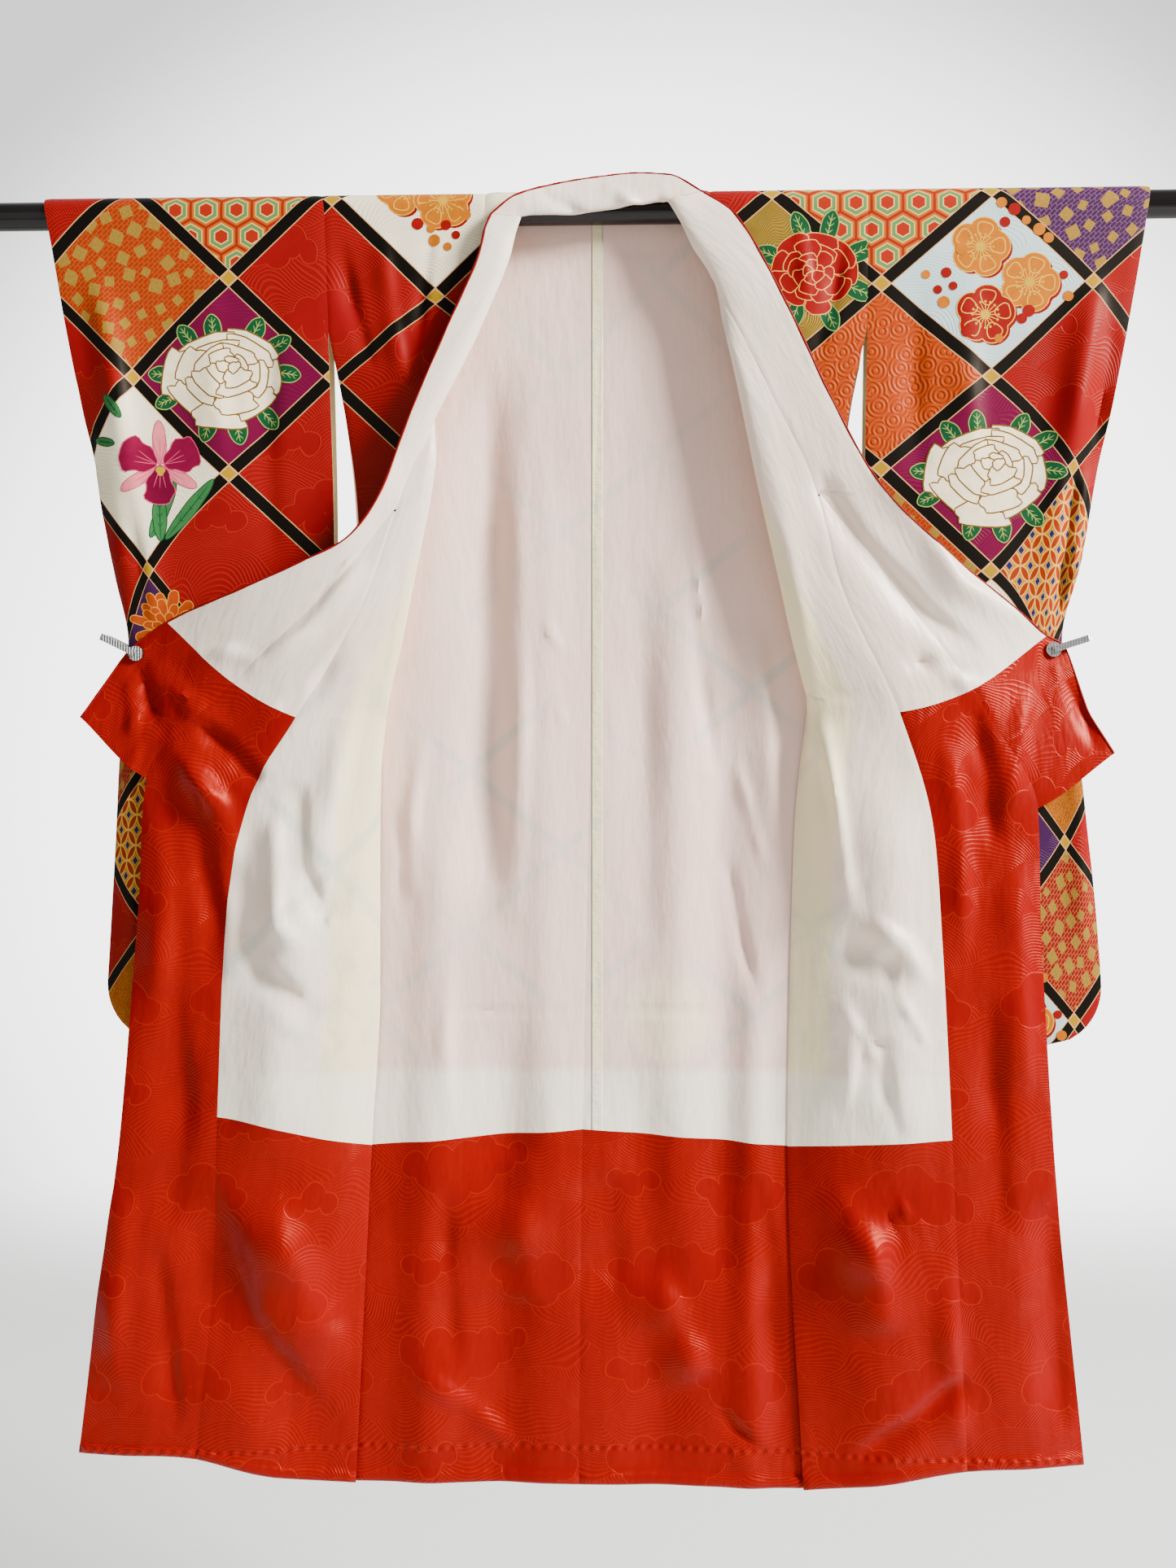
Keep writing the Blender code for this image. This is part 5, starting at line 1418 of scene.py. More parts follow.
class Graph:
    """A material's nodes, made by short calls. An input is a number, a tuple or another node's value."""

    def __init__(self, name):
        self.material = bpy.data.materials.new(name)
        self.material.use_nodes = True
        self.tree = self.material.node_tree
        self.shader = self.tree.nodes["Principled BSDF"]

    def made(self, kind, inputs, **settings):
        """A new node with its settings and inputs."""
        node = self.tree.nodes.new(kind)
        for key, value in settings.items():
            setattr(node, key, value)
        for key, value in inputs.items():
            self.feed(node.inputs[key], value)
        return node

    def node(self, kind, inputs, output=0, **settings):
        """The value that a new node gives."""
        return Value(self, self.made(kind, inputs, **settings).outputs[output])

    def feed(self, socket, value):
        if isinstance(value, Value):
            self.tree.links.new(value.socket, socket)
        elif isinstance(value, tuple) and socket.type == "RGBA" and len(value) == 3:
            socket.default_value = (*value, 1)
        else:
            socket.default_value = value

    def math(self, operation, *inputs):
        return self.node("ShaderNodeMath", dict(enumerate(inputs)), operation=operation)

    def vector(self, operation, *inputs):
        output = "Value" if operation in ("LENGTH", "DISTANCE") else "Vector"
        return self.node("ShaderNodeVectorMath", dict(enumerate(inputs)), output, operation=operation)

    def scaled(self, vector, scale):
        return self.node("ShaderNodeVectorMath", {0: vector, "Scale": scale}, operation="SCALE")

    def turned(self, vector, angle):
        return self.node("ShaderNodeVectorRotate", {"Vector": vector, "Angle": angle}, rotation_type="Z_AXIS")

    def split(self, vector):
        """The three parts of a vector."""
        return [Value(self, output) for output in self.made("ShaderNodeSeparateXYZ", {0: vector}).outputs]

    def join(self, x, y):
        return self.node("ShaderNodeCombineXYZ", {0: x, 1: y})

    def mix(self, factor, a, b):
        inputs = {0: factor, MIX_FIRST: a, MIX_SECOND: b}
        return self.node("ShaderNodeMix", inputs, MIX_RESULT, data_type="RGBA")

    def ranged(self, value, start=0.0, end=1.0, low=0.0, high=1.0, kind="LINEAR"):
        """A value that goes from low to high while the given one goes from start to end."""
        inputs = {"Value": value, "From Min": start, "From Max": end, "To Min": low, "To Max": high}
        return self.node("ShaderNodeMapRange", inputs, interpolation_type=kind)

    def less(self, value, limit, soft=0.0):
        """1 where a value is under a limit and 0 where it is over, with a soft step between."""
        if soft == 0.0:
            return self.math("LESS_THAN", value, limit)
        return self.ranged(value, limit - soft, limit + soft, low=1.0, high=0.0)

    def wrapped(self, value, low, high):
        """A value repeated between two others."""
        return self.math("WRAP", value, high, low)

    def noise(self, vector, scale, detail=2.0, roughness=0.5, dimensions="2D"):
        inputs = {"Vector": vector, "Scale": scale, "Detail": detail, "Roughness": roughness}
        return self.node("ShaderNodeTexNoise", inputs, noise_dimensions=dimensions)

    def drift(self, vector, scales, detail, reach):
        """A slow wandering of places by up to half of reach each way."""
        noises = [self.noise(vector, scale, detail) for scale in scales]
        return self.scaled(self.vector("SUBTRACT", self.join(*noises), HALF), reach)

    def flat(self):
        """The cloth's flat place in millimetres."""
        return self.scaled(self.node("ShaderNodeUVMap", {}, uv_map=CLOTH_MAP), 1 / MM)

    def place(self):
        """The place in the part, in metres."""
        return self.node("ShaderNodeTexCoord", {}, "Object")

    def bump(self, height, distance, **normal):
        """The way a surface looks with a height on it."""
        inputs = {"Height": height, "Distance": distance, "Strength": 1.0, **normal}
        return self.node("ShaderNodeBump", inputs)

    def finish(self, color, roughness, **others):
        """The material, with these inputs of its shader."""
        self.feed(self.shader.inputs["Base Color"], color)
        self.feed(self.shader.inputs["Roughness"], roughness)
        for key, value in others.items():
            self.feed(self.shader.inputs[key.replace("_", " ")], value)
        return self.material


def silk_weave(g, flat, depth=CREPE_DEPTH):
    """The bump of a crepe silk: fine ribs with an uneven grain over them."""
    warp, weft = (g.math("SINE", way * (math.tau / WEAVE_PITCH)) for way in g.split(flat)[:2])
    grain = g.noise(flat, CREPE_SCALE, roughness=CREPE_ROUGHNESS)
    return g.bump(warp * weft * RIB_SHARE + grain, depth)


def uneven(g, flat, color, scale, amount):
    """A colour with slow soft changes of strength over it."""
    patches = g.noise(flat, scale, detail=3.0, roughness=0.55)
    return g.scaled(color, g.math("MULTIPLY_ADD", patches, amount, 1.0 - amount / 2))


def figured(g, flat):
    """The figure woven in the silk: scalloped clouds, with fine wavy water lines between them."""
    x, y, _ = g.split(flat)
    width, height = CLOUD_TILE
    odd = g.math("FLOOR", x / width) % 2.0 * (height * CLOUD_COLUMN_SHIFT)
    place = g.join(g.wrapped(x, 0.0, width), g.wrapped(y + odd, 0.0, height))
    place = g.vector("ADD", place, g.drift(flat, CLOUD_DRIFT_SCALES, detail=2.0, reach=CLOUD_WOBBLE))
    inside = None
    for lobe_x, lobe_y, radius in CLOUD_LOBES:
        gap = g.vector("DISTANCE", place, (lobe_x, lobe_y, 0.0)) - radius
        inside = gap if inside is None else g.math("MINIMUM", inside, gap)
    rim = g.less(abs(inside), CLOUD_LINE, CLOUD_LINE_SOFT)
    outside = 1.0 - g.less(inside, CLOUD_MARGIN, CLOUD_MARGIN_SOFT)
    return rim, water_lines(g, flat) * outside


def water_lines(g, flat):
    """Fine lines that run in step over low hills, each row of hills before the next one up."""
    drift = g.drift(flat, HILL_DRIFT_SCALES, detail=1.0, reach=HILL_WOBBLE)
    x, y, _ = g.split(g.vector("ADD", flat, drift))
    row = g.math("FLOOR", y / HILL_ROW)
    fall = y - row * HILL_ROW
    reach = None
    for k in range(HILL_ROWS):
        shift = (row + float(k)) % 2.0 * (HILL_WIDTH / 2)
        beside = g.wrapped(x + shift, -HILL_WIDTH / 2, HILL_WIDTH / 2)
        middle = HILL_RADIUS - HILL_ROW * (HILL_ROWS - 1 - k)
        away = g.vector("LENGTH", g.join(beside, fall - middle))
        if reach is None:
            reach = away
        else:
            covers = g.less(away, HILL_RADIUS)
            reach = away * covers + reach * (1.0 - covers)
    place = g.math("FRACT", reach / WATER_PITCH)
    return g.less(abs(place - 0.5), WATER_SHARE / 2, WATER_SOFT)


def from_lattice(g):
    """How far a point lies from the nearest line of each of the lattice's two ways, in cells."""
    lines = g.split(g.node("ShaderNodeUVMap", {}, uv_map=LATTICE_MAP))[:2]
    return [abs(g.math("FRACT", line + 0.5) - 0.5) for line in lines]


def lattice_over(g, color):
    """Black bands with pale edges over a cell's colour, and a gold square where they cross."""
    near = from_lattice(g)
    nearest = g.math("MINIMUM", *near)
    farthest = g.math("MAXIMUM", *near)
    band = g.less(nearest, BAND_EDGE)
    color = g.mix(band, color, EDGE_CREAM)
    color = g.mix(g.less(nearest, BAND_HALF), color, BAND_BLACK)
    color = g.mix(g.less(farthest, BAND_EDGE), color, EDGE_CREAM)
    return g.mix(g.less(farthest, CROSS_HALF), color, CROSS_GOLD), band


def silk_finish(g, color, normal):
    """The soft shine of the outer silk, with its colour and bump."""
    return g.finish(color, SILK_ROUGHNESS, Normal=normal, Specular_IOR_Level=0.12, Specular_Tint=SILK_GLOSS)


@functools.cache
def outer_silk(name):
    """The outer cloth where its cell has the fill of this name."""
    g = Graph(f"outer_{name}")
    flat = g.flat()
    color, height, depth = FILL_MAKERS[name](g, flat)
    color, band = lattice_over(g, color)
    normal = silk_weave(g, flat)
    if height is not None:
        normal = g.bump(height * (1.0 - band), depth, Normal=normal)
    return silk_finish(g, color, normal)


def red_fill(g, flat):
    """Red with clouds and water lines woven in."""
    rim, waves = figured(g, flat)
    color = uneven(g, flat, OUTER_RED, scale=0.012, amount=0.25)
    color = g.mix(rim * RIM_SHARE, color, OUTER_RED_LINE)
    color = g.mix(waves * OUTER_WAVE_SHARE, color, OUTER_RED_LINE)
    return color, rim + waves, FIGURE_DEPTH


def plain_fill(color, line):
    """A fill of one colour whose woven water lines show faintly in another."""

    def fill(g, flat):
        _, waves = figured(g, flat)
        base = uneven(g, flat, color, scale=0.02, amount=0.12)
        return g.mix(waves * PLAIN_WAVE_SHARE, base, line), waves, PLAIN_DEPTH

    return fill


def foil_squares(g, flat):
    """Squares of foil, one in each cell of a turned grid, each with its own size, place and turn."""
    place = g.scaled(g.turned(flat, FOIL_GRID_TURN), 1.0 / FOIL_PITCH)
    cell = g.vector("FLOOR", place)
    random = g.node("ShaderNodeTexWhiteNoise", {"Vector": cell}, "Color", noise_dimensions="2D")
    size, _, turn = g.split(random)
    middle = g.vector("SUBTRACT", g.vector("FRACTION", place), HALF)
    scatter = g.scaled(g.vector("SUBTRACT", random, (0.5, 0.5, 0.5)), FOIL_SCATTER)
    turned = g.turned(g.vector("SUBTRACT", middle, scatter), turn * FOIL_TURN)
    x, y, _ = g.split(g.vector("ABSOLUTE", turned))
    smallest, largest = FOIL_SIZES
    limit = g.math("MULTIPLY_ADD", size, largest - smallest, smallest)
    return g.math("LESS_THAN", g.math("MAXIMUM", x, y), limit)


def foil_fill(ground, thread):
    """Gold foil squares over a ground with a fine woven net."""

    def fill(g, flat):
        net = g.node(
            "ShaderNodeTexBrick",
            {
                "Vector": g.turned(flat, NET_TURN), "Scale": 1.0 / NET_PITCH, "Mortar Size": NET_THICKNESS,
                "Brick Width": 1.0, "Row Height": 0.5, "Color1": NO_LIGHT, "Color2": NO_LIGHT,
                "Mortar": FULL_LIGHT,
            },
        )
        color = g.mix(net * NET_SHARE, uneven(g, flat, ground, scale=0.03, amount=0.2), thread)
        gold = g.mix(g.noise(flat, scale=0.35, detail=3.0, roughness=0.7), FOIL_GOLD, FOIL_SHADE)
        return g.mix(foil_squares(g, flat), color, gold), net * 0.5, PATTERN_DEPTH

    return fill


def hexagon_gap(g, x, y, width, height):
    """The distance from the middle of the nearest of a grid's hexagons."""
    across = abs(g.wrapped(x, -width / 2, width / 2))
    along = abs(g.wrapped(y, -height / 2, height / 2))
    return g.math("MAXIMUM", across, across * 0.5 + along * (math.sqrt(3) / 2))


def hexagon_fill(g, flat):
    """Hexagons in hexagons."""
    x, y, _ = g.split(flat)
    width = HEXAGON_PITCH
    height = HEXAGON_PITCH * math.sqrt(3)
    first = hexagon_gap(g, x, y, width, height)
    second = hexagon_gap(g, x + width / 2, y + height / 2, width, height)
    gap = g.math("MINIMUM", first, second)
    color = HEXAGON_LINE
    for ring in HEXAGON_RINGS:
        color = g.mix(g.less(gap, ring.reach * width, HEXAGON_SOFT), color, ring.color)
    return color, None, 0.0


def linked_rings_fill(g, flat):
    """Rings that overlap their neighbours, with a blue diamond in each gap."""
    radius = RING_RADIUS
    across, along = (abs(g.wrapped(way, -radius, radius)) for way in g.split(flat)[:2])
    far_across = radius - across
    far_along = radius - along
    middle = g.vector("LENGTH", g.join(across, along))
    corner = g.vector("LENGTH", g.join(far_across, far_along))
    petal = g.less(middle, radius, RING_EDGE_SOFT) * g.less(corner, radius, RING_EDGE_SOFT)
    color = g.mix(petal, uneven(g, flat, RING_GROUND, scale=0.05, amount=0.3), RING_PETAL)
    line = g.math("MINIMUM", abs(middle - radius), abs(corner - radius))
    color = g.mix(g.less(line, RING_LINE_HALF, RING_SOFT), color, RING_LINE)
    diamond = g.math("MINIMUM", across + along, far_across + far_along)
    color = g.mix(g.less(diamond, DIAMOND_RIM, RING_SOFT), color, RING_LINE)
    return g.mix(g.less(diamond, DIAMOND_HALF, RING_SOFT), color, RING_DIAMOND), None, 0.0


def crackle_fill(g, flat):
    """Gold orange with a net of fine broken lines."""
    edge = g.node(
        "ShaderNodeTexVoronoi", {"Vector": flat, "Scale": 1.0 / CRACKLE_SIZE}, "Distance",
        feature="DISTANCE_TO_EDGE", voronoi_dimensions="2D",
    )
    lines = g.less(edge, limit=0.06, soft=0.03)
    base = g.mix(g.noise(flat, scale=0.06, detail=3.0), CRACKLE_LIGHT, CRACKLE_DARK)
    return g.mix(lines * CRACKLE_SHARE, base, CRACKLE_LINE), lines, PATTERN_DEPTH


def swirl_fill(g, flat):
    """Orange with small scrolls woven in."""
    inputs = {"Vector": flat, "Scale": 1.0 / SWIRL_SIZE}
    away = g.node("ShaderNodeTexVoronoi", inputs, "Distance", voronoi_dimensions="2D")
    rings = g.math("SINE", away * SWIRL_TURNS)
    base = uneven(g, flat, SWIRL_ORANGE, scale=0.015, amount=0.3)
    return g.mix(g.math("MAXIMUM", rings, 0.0) * SWIRL_SHARE, base, SWIRL_LINE), rings, PATTERN_DEPTH


def brushed_gold_fill(g, flat):
    """Gold ground with long brushed lines."""
    x, y, _ = g.split(flat)
    bend = g.noise(flat, scale=0.02, detail=1.0) * BRUSH_BEND
    lines = g.math("SINE", (x + y + bend) * (math.tau / BRUSH_PITCH))
    base = uneven(g, flat, BRUSHED_GOLD, scale=0.03, amount=0.3)
    return g.mix(g.math("MAXIMUM", lines, 0.0) * 0.5, base, BRUSHED_LINE), lines, PATTERN_DEPTH


FILL_MAKERS = {
    "red": red_fill,
    "magenta": plain_fill(MAGENTA, MAGENTA_LINE),
    "cream": plain_fill(CREAM, CREAM_LINE),
    "pale": plain_fill(PALE_BLUE, PALE_LINE),
    "purple": plain_fill(PURPLE, PURPLE_LINE),
    "foil_orange": foil_fill(FOIL_ORANGE, FOIL_THREAD),
    "foil_purple": foil_fill(PURPLE, PURPLE_THREAD),
    "foil_red": foil_fill(NET_RED, NET_THREAD),
    "hexagons": hexagon_fill,
    "linked_rings": linked_rings_fill,
    "crackle": crackle_fill,
    "swirls": swirl_fill,
    "brushed_gold": brushed_gold_fill,
}


def centre_fold(g, across):
    """The back lining's fold beside its centre seam: the fold itself, and its two edges, along which shade is
    painted.
    """
    from_middle = abs(across - SEAM_FOLD)
    folded = g.less(from_middle, SEAM_FOLD, SEAM_FOLD_LINE)
    return folded, g.less(abs(from_middle - SEAM_FOLD), SEAM_FOLD_LINE)


@functools.cache
def white_lining(part):
    """Thin satin lining: pinker at the back, creamier on the fronts. The outside shows through both."""
    g = Graph("lining_satin" + (f"_{part}" if part else ""))
    flat = g.flat()
    across, down, _ = g.split(flat)
    toned = g.noise(flat, scale=0.004, detail=3.0, roughness=0.55)
    if part == "back":
        folded, fold_edge_painted_shade = centre_fold(g, across)
        color = g.mix(folded, g.mix(toned, LINING_PINK, LINING_ROSE), LINING_CREAM)
        # Painted shade: darker lines along the two edges of the fold beside the centre seam
        color = g.mix(fold_edge_painted_shade * FOLD_EDGE_PAINTED_SHADE, color, LINING_PAINTED_SHADE)
    else:
        strip = g.ranged(abs(across), SIDE_STRIP_FROM, SIDE_STRIP_FROM + SIDE_STRIP_SOFT)
        color = g.mix(strip, g.mix(toned, LINING_ROSE, LINING_WHITE), LINING_CREAM)
    if part:
        color = g.mix(seen_bands(g, flat) * SEEN_BAND_SHARE, color, SEEN_THROUGH)
        seen_color = SEEN_FLOWER if part == "back" else SEEN_THROUGH
        color = g.mix(seen_flowers(g, across, abs(down), flat, part), color, seen_color)
    whiter = g.ranged(abs(down), WHITER_FROM, WHITER_FROM + WHITER_SOFT)
    color = g.mix(whiter * WHITER_SHARE, color, LINING_WHITE)
    streaks = g.noise(g.vector("MULTIPLY", flat, STREAK_STRETCH), scale=0.9)
    rough = g.ranged(streaks, low=0.34, high=0.46)
    slow = g.noise(g.vector("MULTIPLY", flat, LINING_SLACK_STRETCH), scale=0.03, detail=3.0, roughness=0.6)
    normal = g.bump(slow, LINING_SLACK_DEPTH, Normal=silk_weave(g, flat, SATIN_DEPTH))
    if part == "back":
        pucker = g.noise(g.vector("MULTIPLY", flat, PUCKER_STRETCH), scale=0.09, detail=3.0, roughness=0.6)
        normal = g.bump(folded * (pucker + FOLD_HEIGHT), FOLD_DEPTH, Normal=normal)
    return g.finish(
        color, rough, Normal=normal, Sheen_Weight=0.1, Sheen_Roughness=0.3, Specular_IOR_Level=0.4
    )


def seen_flowers(g, across, down, flat, part):
    """Soft patches of flowers seen through the lining: one at the back, a few low on the fronts."""
    blotches = g.noise(flat, scale=0.035, detail=3.0, roughness=0.6)
    if part == "back":
        beside = across - SEEN_FLOWER_PLACE[0]
        below = down - SEEN_FLOWER_PLACE[1]
        away = g.vector("LENGTH", g.join(beside, below)) + blotches * SEEN_FLOWER_BLOTCHES
        return g.less(away, SEEN_FLOWER_REACH, SEEN_FLOWER_SOFT) * SEEN_FLOWER_SHARE
    low = g.less(abs(down - SEEN_PATCH_DOWN), SEEN_PATCH_REACH, SEEN_PATCH_SOFT)
    return low * g.ranged(blotches, start=0.5, end=0.62) * SEEN_PATCH_SHARE


def seen_bands(g, flat):
    """Soft bands of the lattice behind the lining, stronger in some places than in others."""
    band = g.less(g.math("MINIMUM", *from_lattice(g)), BAND_HALF, BAND_HALF * SEEN_BAND_SOFT)
    return band * g.ranged(g.noise(flat, scale=0.0045, detail=1.0), start=0.38, end=0.66)


@functools.cache
def red_lining():
    """Figured red satin: clouds and water lines lighter than the ground, and the hem's stitches."""
    g = Graph("hem_lining_satin")
    flat = g.flat()
    rim, waves = figured(g, flat)
    color = uneven(g, flat, HEM_RED, scale=0.01, amount=0.35)
    color = g.mix(rim * RIM_SHARE, color, HEM_RED_LINE)
    color = g.mix(waves * HEM_WAVE_SHARE, color, HEM_RED_LINE)
    normal = g.bump(rim + waves, HEM_FIGURE_DEPTH, Normal=silk_weave(g, flat, HEM_WEAVE_DEPTH))
    across, down, _ = g.split(flat)
    row = g.less(abs(abs(down) - HEM_STITCH_DOWN), HEM_STITCH_HALF, HEM_STITCH_SOFT)
    stitches = row * g.math("SINE", across * (math.tau / HEM_STITCH_PITCH))
    normal = g.bump(stitches, HEM_STITCH_DEPTH, Normal=normal)
    slow = g.noise(g.vector("MULTIPLY", flat, HEM_SLACK_STRETCH), scale=0.022, detail=3.0, roughness=0.6)
    normal = g.bump(slow, HEM_SLACK_DEPTH, Normal=normal)
    return g.finish(color, HEM_ROUGHNESS, Normal=normal, Specular_IOR_Level=0.4, Specular_Tint=RED_GLOSS)


def lacquer():
    """Glossy black lacquer with a trace of dust and uneven polish."""
    g = Graph("rod_lacquer")
    cloud = g.noise(g.place(), scale=14.0, detail=4.0, dimensions="3D")
    fine = g.noise(g.place(), scale=900.0, detail=2.0, dimensions="3D")
    color = g.mix(cloud * 0.5, LACQUER_BLACK, LACQUER_BROWN)
    rough = g.ranged(cloud, low=0.1, high=0.22)
    normal = g.bump(fine, DUST_DEPTH)
    return g.finish(
        color, rough, Normal=normal, Specular_IOR_Level=0.2, Coat_Weight=0.12, Coat_Roughness=0.08
    )


def clip_steel():
    """Bright steel with fine scratches along the arm, and ribs across it whose light and shade are painted
    into the colour as lighter and darker bands.
    """
    g = Graph("clip_steel")
    place = g.place()
    scratches = g.noise(g.vector("MULTIPLY", place, SCRATCH_SCALES), scale=1.0, detail=3.0, dimensions="3D")
    ribs = g.math("SINE", g.split(place)[0] * (math.tau / CLIP_RIB_PITCH))
    # Painted light and shade: the steel turns lighter and darker with each rib's wave
    color = g.mix(g.math("MULTIPLY_ADD", ribs, CLIP_RIB_PAINTED_SHADE_SHARE, 0.5), STEEL_RIB_PAINTED_LIGHT, STEEL_RIB_PAINTED_SHADE)
    normal = g.bump(ribs, CLIP_RIB_DEPTH, Normal=g.bump(scratches, SCRATCH_DEPTH))
    return g.finish(color, g.ranged(scratches, low=0.18, high=0.4), Normal=normal, Metallic=1.0)


def wall_white():
    """Pale matt floor with a hardly visible grain, that fades out away from the middle."""
    g = Graph("floor_pale")
    place = g.place()
    grain = g.noise(place, scale=40.0, detail=3.0, dimensions="3D")
    there = g.ranged(g.vector("LENGTH", place), *FLOOR_FADE, low=1.0, high=0.0, kind="SMOOTHSTEP")
    color = g.mix(grain, FLOOR_PALE, FLOOR_WARM)
    return g.finish(
        color, FLOOR_ROUGHNESS, Alpha=there, Emission_Color=WORLD_COLOR, Emission_Strength=FLOOR_GLOW
    )


# Flowers


def petal(x, y, degrees, length, width, tip, ruffle=0.0):
    """A petal's or leaf's outline from its foot: round where tip is under 1, pointed where it is over 1."""
    t = np.linspace(0, math.tau, PETAL_POINTS, endpoint=False)
    along = length * (1 - np.cos(t)) / 2
    beside = -width / 2 * np.sign(np.sin(t)) * np.abs(np.sin(t)) ** tip
    beside *= 1 + ruffle * np.sin(RUFFLES * t + x)
    if tip < 1:
        beside *= PETAL_FOOT_WIDTH + PETAL_WIDENING * along / length
    way = math.radians(degrees)
    ways = np.array([math.cos(way), math.sin(way)])
    return np.array([x, y]) + along[:, None] * ways + beside[:, None] * np.array([-ways[1], ways[0]])


def lobed(x, y, reach, lobes, dent, turn=0):
    """A round outline with rounded lobes, as a five-petalled blossom has. Without a dent it is a disc."""
    t = np.linspace(0, math.tau, PETAL_POINTS * 2, endpoint=False)
    radius = reach * (1 - dent + dent * np.abs(np.cos(lobes * (t - turn) / 2)) ** LOBE_ROUNDNESS)
    return np.stack([x + radius * np.cos(t), y + radius * np.sin(t)], axis=1)


def grown(outline, width):
    """An outline moved outwards."""
    ways = unit(np.roll(outline, -1, axis=0) - np.roll(outline, 1, axis=0))
    return outline + np.stack([ways[:, 1], -ways[:, 0]], axis=1) * width


def stroke(x, y, degrees, length, width):
    """A thin line from its foot, pointed at both ends."""
    return petal(x, y, degrees, length, width, tip=1.0)


def around(x, y, degrees, distance):
    """The place at a distance from another, in the direction of an angle."""
    way = math.radians(degrees)
    return x + distance * math.cos(way), y + distance * math.sin(way)


def lined(outline, paint, line):
    """A shape of one paint with a line of another round it."""
    width = ROSE_LINE_WIDTH if paint == "rose" else LINE_WIDTH
    return [(grown(outline, width), line), (outline, paint)]


def leaf_shapes(leaf, paint="leaf", line="leaf_line"):
    """A leaf with its midrib and side veins."""
    x, y, turn, length, width = leaf
    shapes = lined(petal(*leaf, tip=1.25, ruffle=0.03), paint, line)
    shapes.append((stroke(x, y, turn, length * MIDRIB_LENGTH, MIDRIB_WIDTH), line))
    for part in VEIN_PLACES:
        foot = around(x, y, turn, length * part)
        for side in (-VEIN_TURN, VEIN_TURN):
            shapes.append((stroke(*foot, turn + side, width * VEIN_LENGTH, VEIN_WIDTH), line))
    return shapes


def leaves_shapes(leaves, *paints):
    """All of a flower's leaves."""
    return [shape for leaf in leaves for shape in leaf_shapes(leaf, *paints)]


def ring_shapes(ring, paint, squash=1.0, tip=RING_TIP, ruffle=RING_RUFFLE, place=(0.0, 0.0)):
    """A ring of petals, each a little different in turn, length and width."""
    shapes = []
    for k in range(ring.count):
        sways = [math.sin(wave * k + ring.turn) for wave in SWAY_WAVES]
        degrees = ring.turn + FULL_TURN * k / ring.count + TURN_SWAY * sways[0]
        length = ring.length * (1 + LENGTH_SWAY * sways[1])
        width = ring.width * (1 + WIDTH_SWAY * sways[2])
        outline = petal(*around(0, 0, degrees, ring.foot), degrees, length, width, tip, ruffle)
        shapes += lined(outline * np.array([1.0, squash]) + np.array(place), paint, f"{paint}_line")
    return shapes


def rose(_side):
    """A full white rose with gold-brown lines and green leaves."""
    shapes = leaves_shapes(ROSE_LEAVES)
    for k, ring in enumerate(ROSE_RINGS):
        place = (ROSE_STEP[0] * k, ROSE_STEP[1] * k)
        shapes += ring_shapes(ring, "rose", ROSE_SQUASH, ROSE_TIP, ROSE_RUFFLE, place)
    return shapes


def peony(_side):
    """A full red peony with pale lines and green leaves."""
    shapes = leaves_shapes(PEONY_LEAVES)
    for ring in PEONY_RINGS:
        shapes += ring_shapes(ring, "peony", PEONY_SQUASH)
    return shapes


def chrysanthemum(_side):
    """An orange chrysanthemum of narrow petals."""
    shapes = []
    for ring in CHRYSANTHEMUM_RINGS:
        shapes += ring_shapes(ring, "chrysanthemum", tip=CHRYSANTHEMUM_TIP)
    return shapes


def orchid(_side):
    """An orchid: three narrow pale petals behind three broad ruffled ones, over long leaves."""
    shapes = leaves_shapes(ORCHID_LEAVES, "leaf_pale", "leaf")
    for paint, leaf in ORCHID_PETALS:
        tip, ruffle = NARROW_PETAL if paint == "orchid_pale" else BROAD_PETAL
        shapes += lined(petal(*leaf, tip=tip, ruffle=ruffle), paint, "orchid_line")
        for side in (-ORCHID_LINE_TURN, 0, ORCHID_LINE_TURN):
            line = stroke(leaf.x, leaf.y, leaf.turn + side, leaf.length * ORCHID_LINE_LENGTH, 1.0)
            shapes.append((line, "orchid_line"))
    shapes.append((lobed(*ORCHID_HEART), "gold"))
    return shapes


def blossom(paint, x, y):
    """One five-petalled plum blossom with its shade beside it and gold stamens."""
    turn = PLUM_TURN + x * PLUM_TURN_STEP
    shade = lobed(x + PLUM_SHADE, y - PLUM_SHADE, PLUM_REACH, PLUM_PETALS, SHADE_DENT, turn)
    shapes = [(shade, "plum_red")]
    outline = lobed(x, y, PLUM_REACH, PLUM_PETALS, PLUM_DENT, turn)
    shapes += lined(outline, f"plum_{paint}", "plum_line")
    for k in range(PLUM_PETALS):
        degrees = math.degrees(turn) + FULL_TURN / PLUM_PETALS * k
        foot = around(x, y, degrees, PLUM_PETAL_FOOT)
        outline = petal(*foot, degrees, PLUM_PETAL_SIZE, PLUM_PETAL_SIZE, tip=0.6)
        shapes += lined(outline, f"plum_{paint}", "plum_line")
    for k in range(STAMENS):
        degrees = FULL_TURN / STAMENS * k
        shapes.append((stroke(x, y, degrees, STAMEN_LENGTH, STAMEN_WIDTH), "plum_line"))
        shapes.append((lobed(*around(x, y, degrees, STAMEN_TIP_PLACE), STAMEN_TIP, 3, 0), "gold"))
    shapes.append((lobed(x, y, PLUM_HEART, PLUM_PETALS, HEART_DENT, turn), "gold"))
    return shapes


def plum(side):
    """Plum blossoms and loose round buds."""
    shapes = [shape for flower in PLUMS[side] for shape in blossom(*flower)]
    for k, (x, y) in enumerate(PLUM_DOTS[side]):
        shapes.append((lobed(x, y, PLUM_DOT + (k % 3), 3, 0.0), "plum_red" if k % 2 else "plum_orange"))
    return shapes


FLOWER_MAKERS = {"rose": rose, "peony": peony, "chrysanthemum": chrysanthemum, "orchid": orchid, "plum": plum}


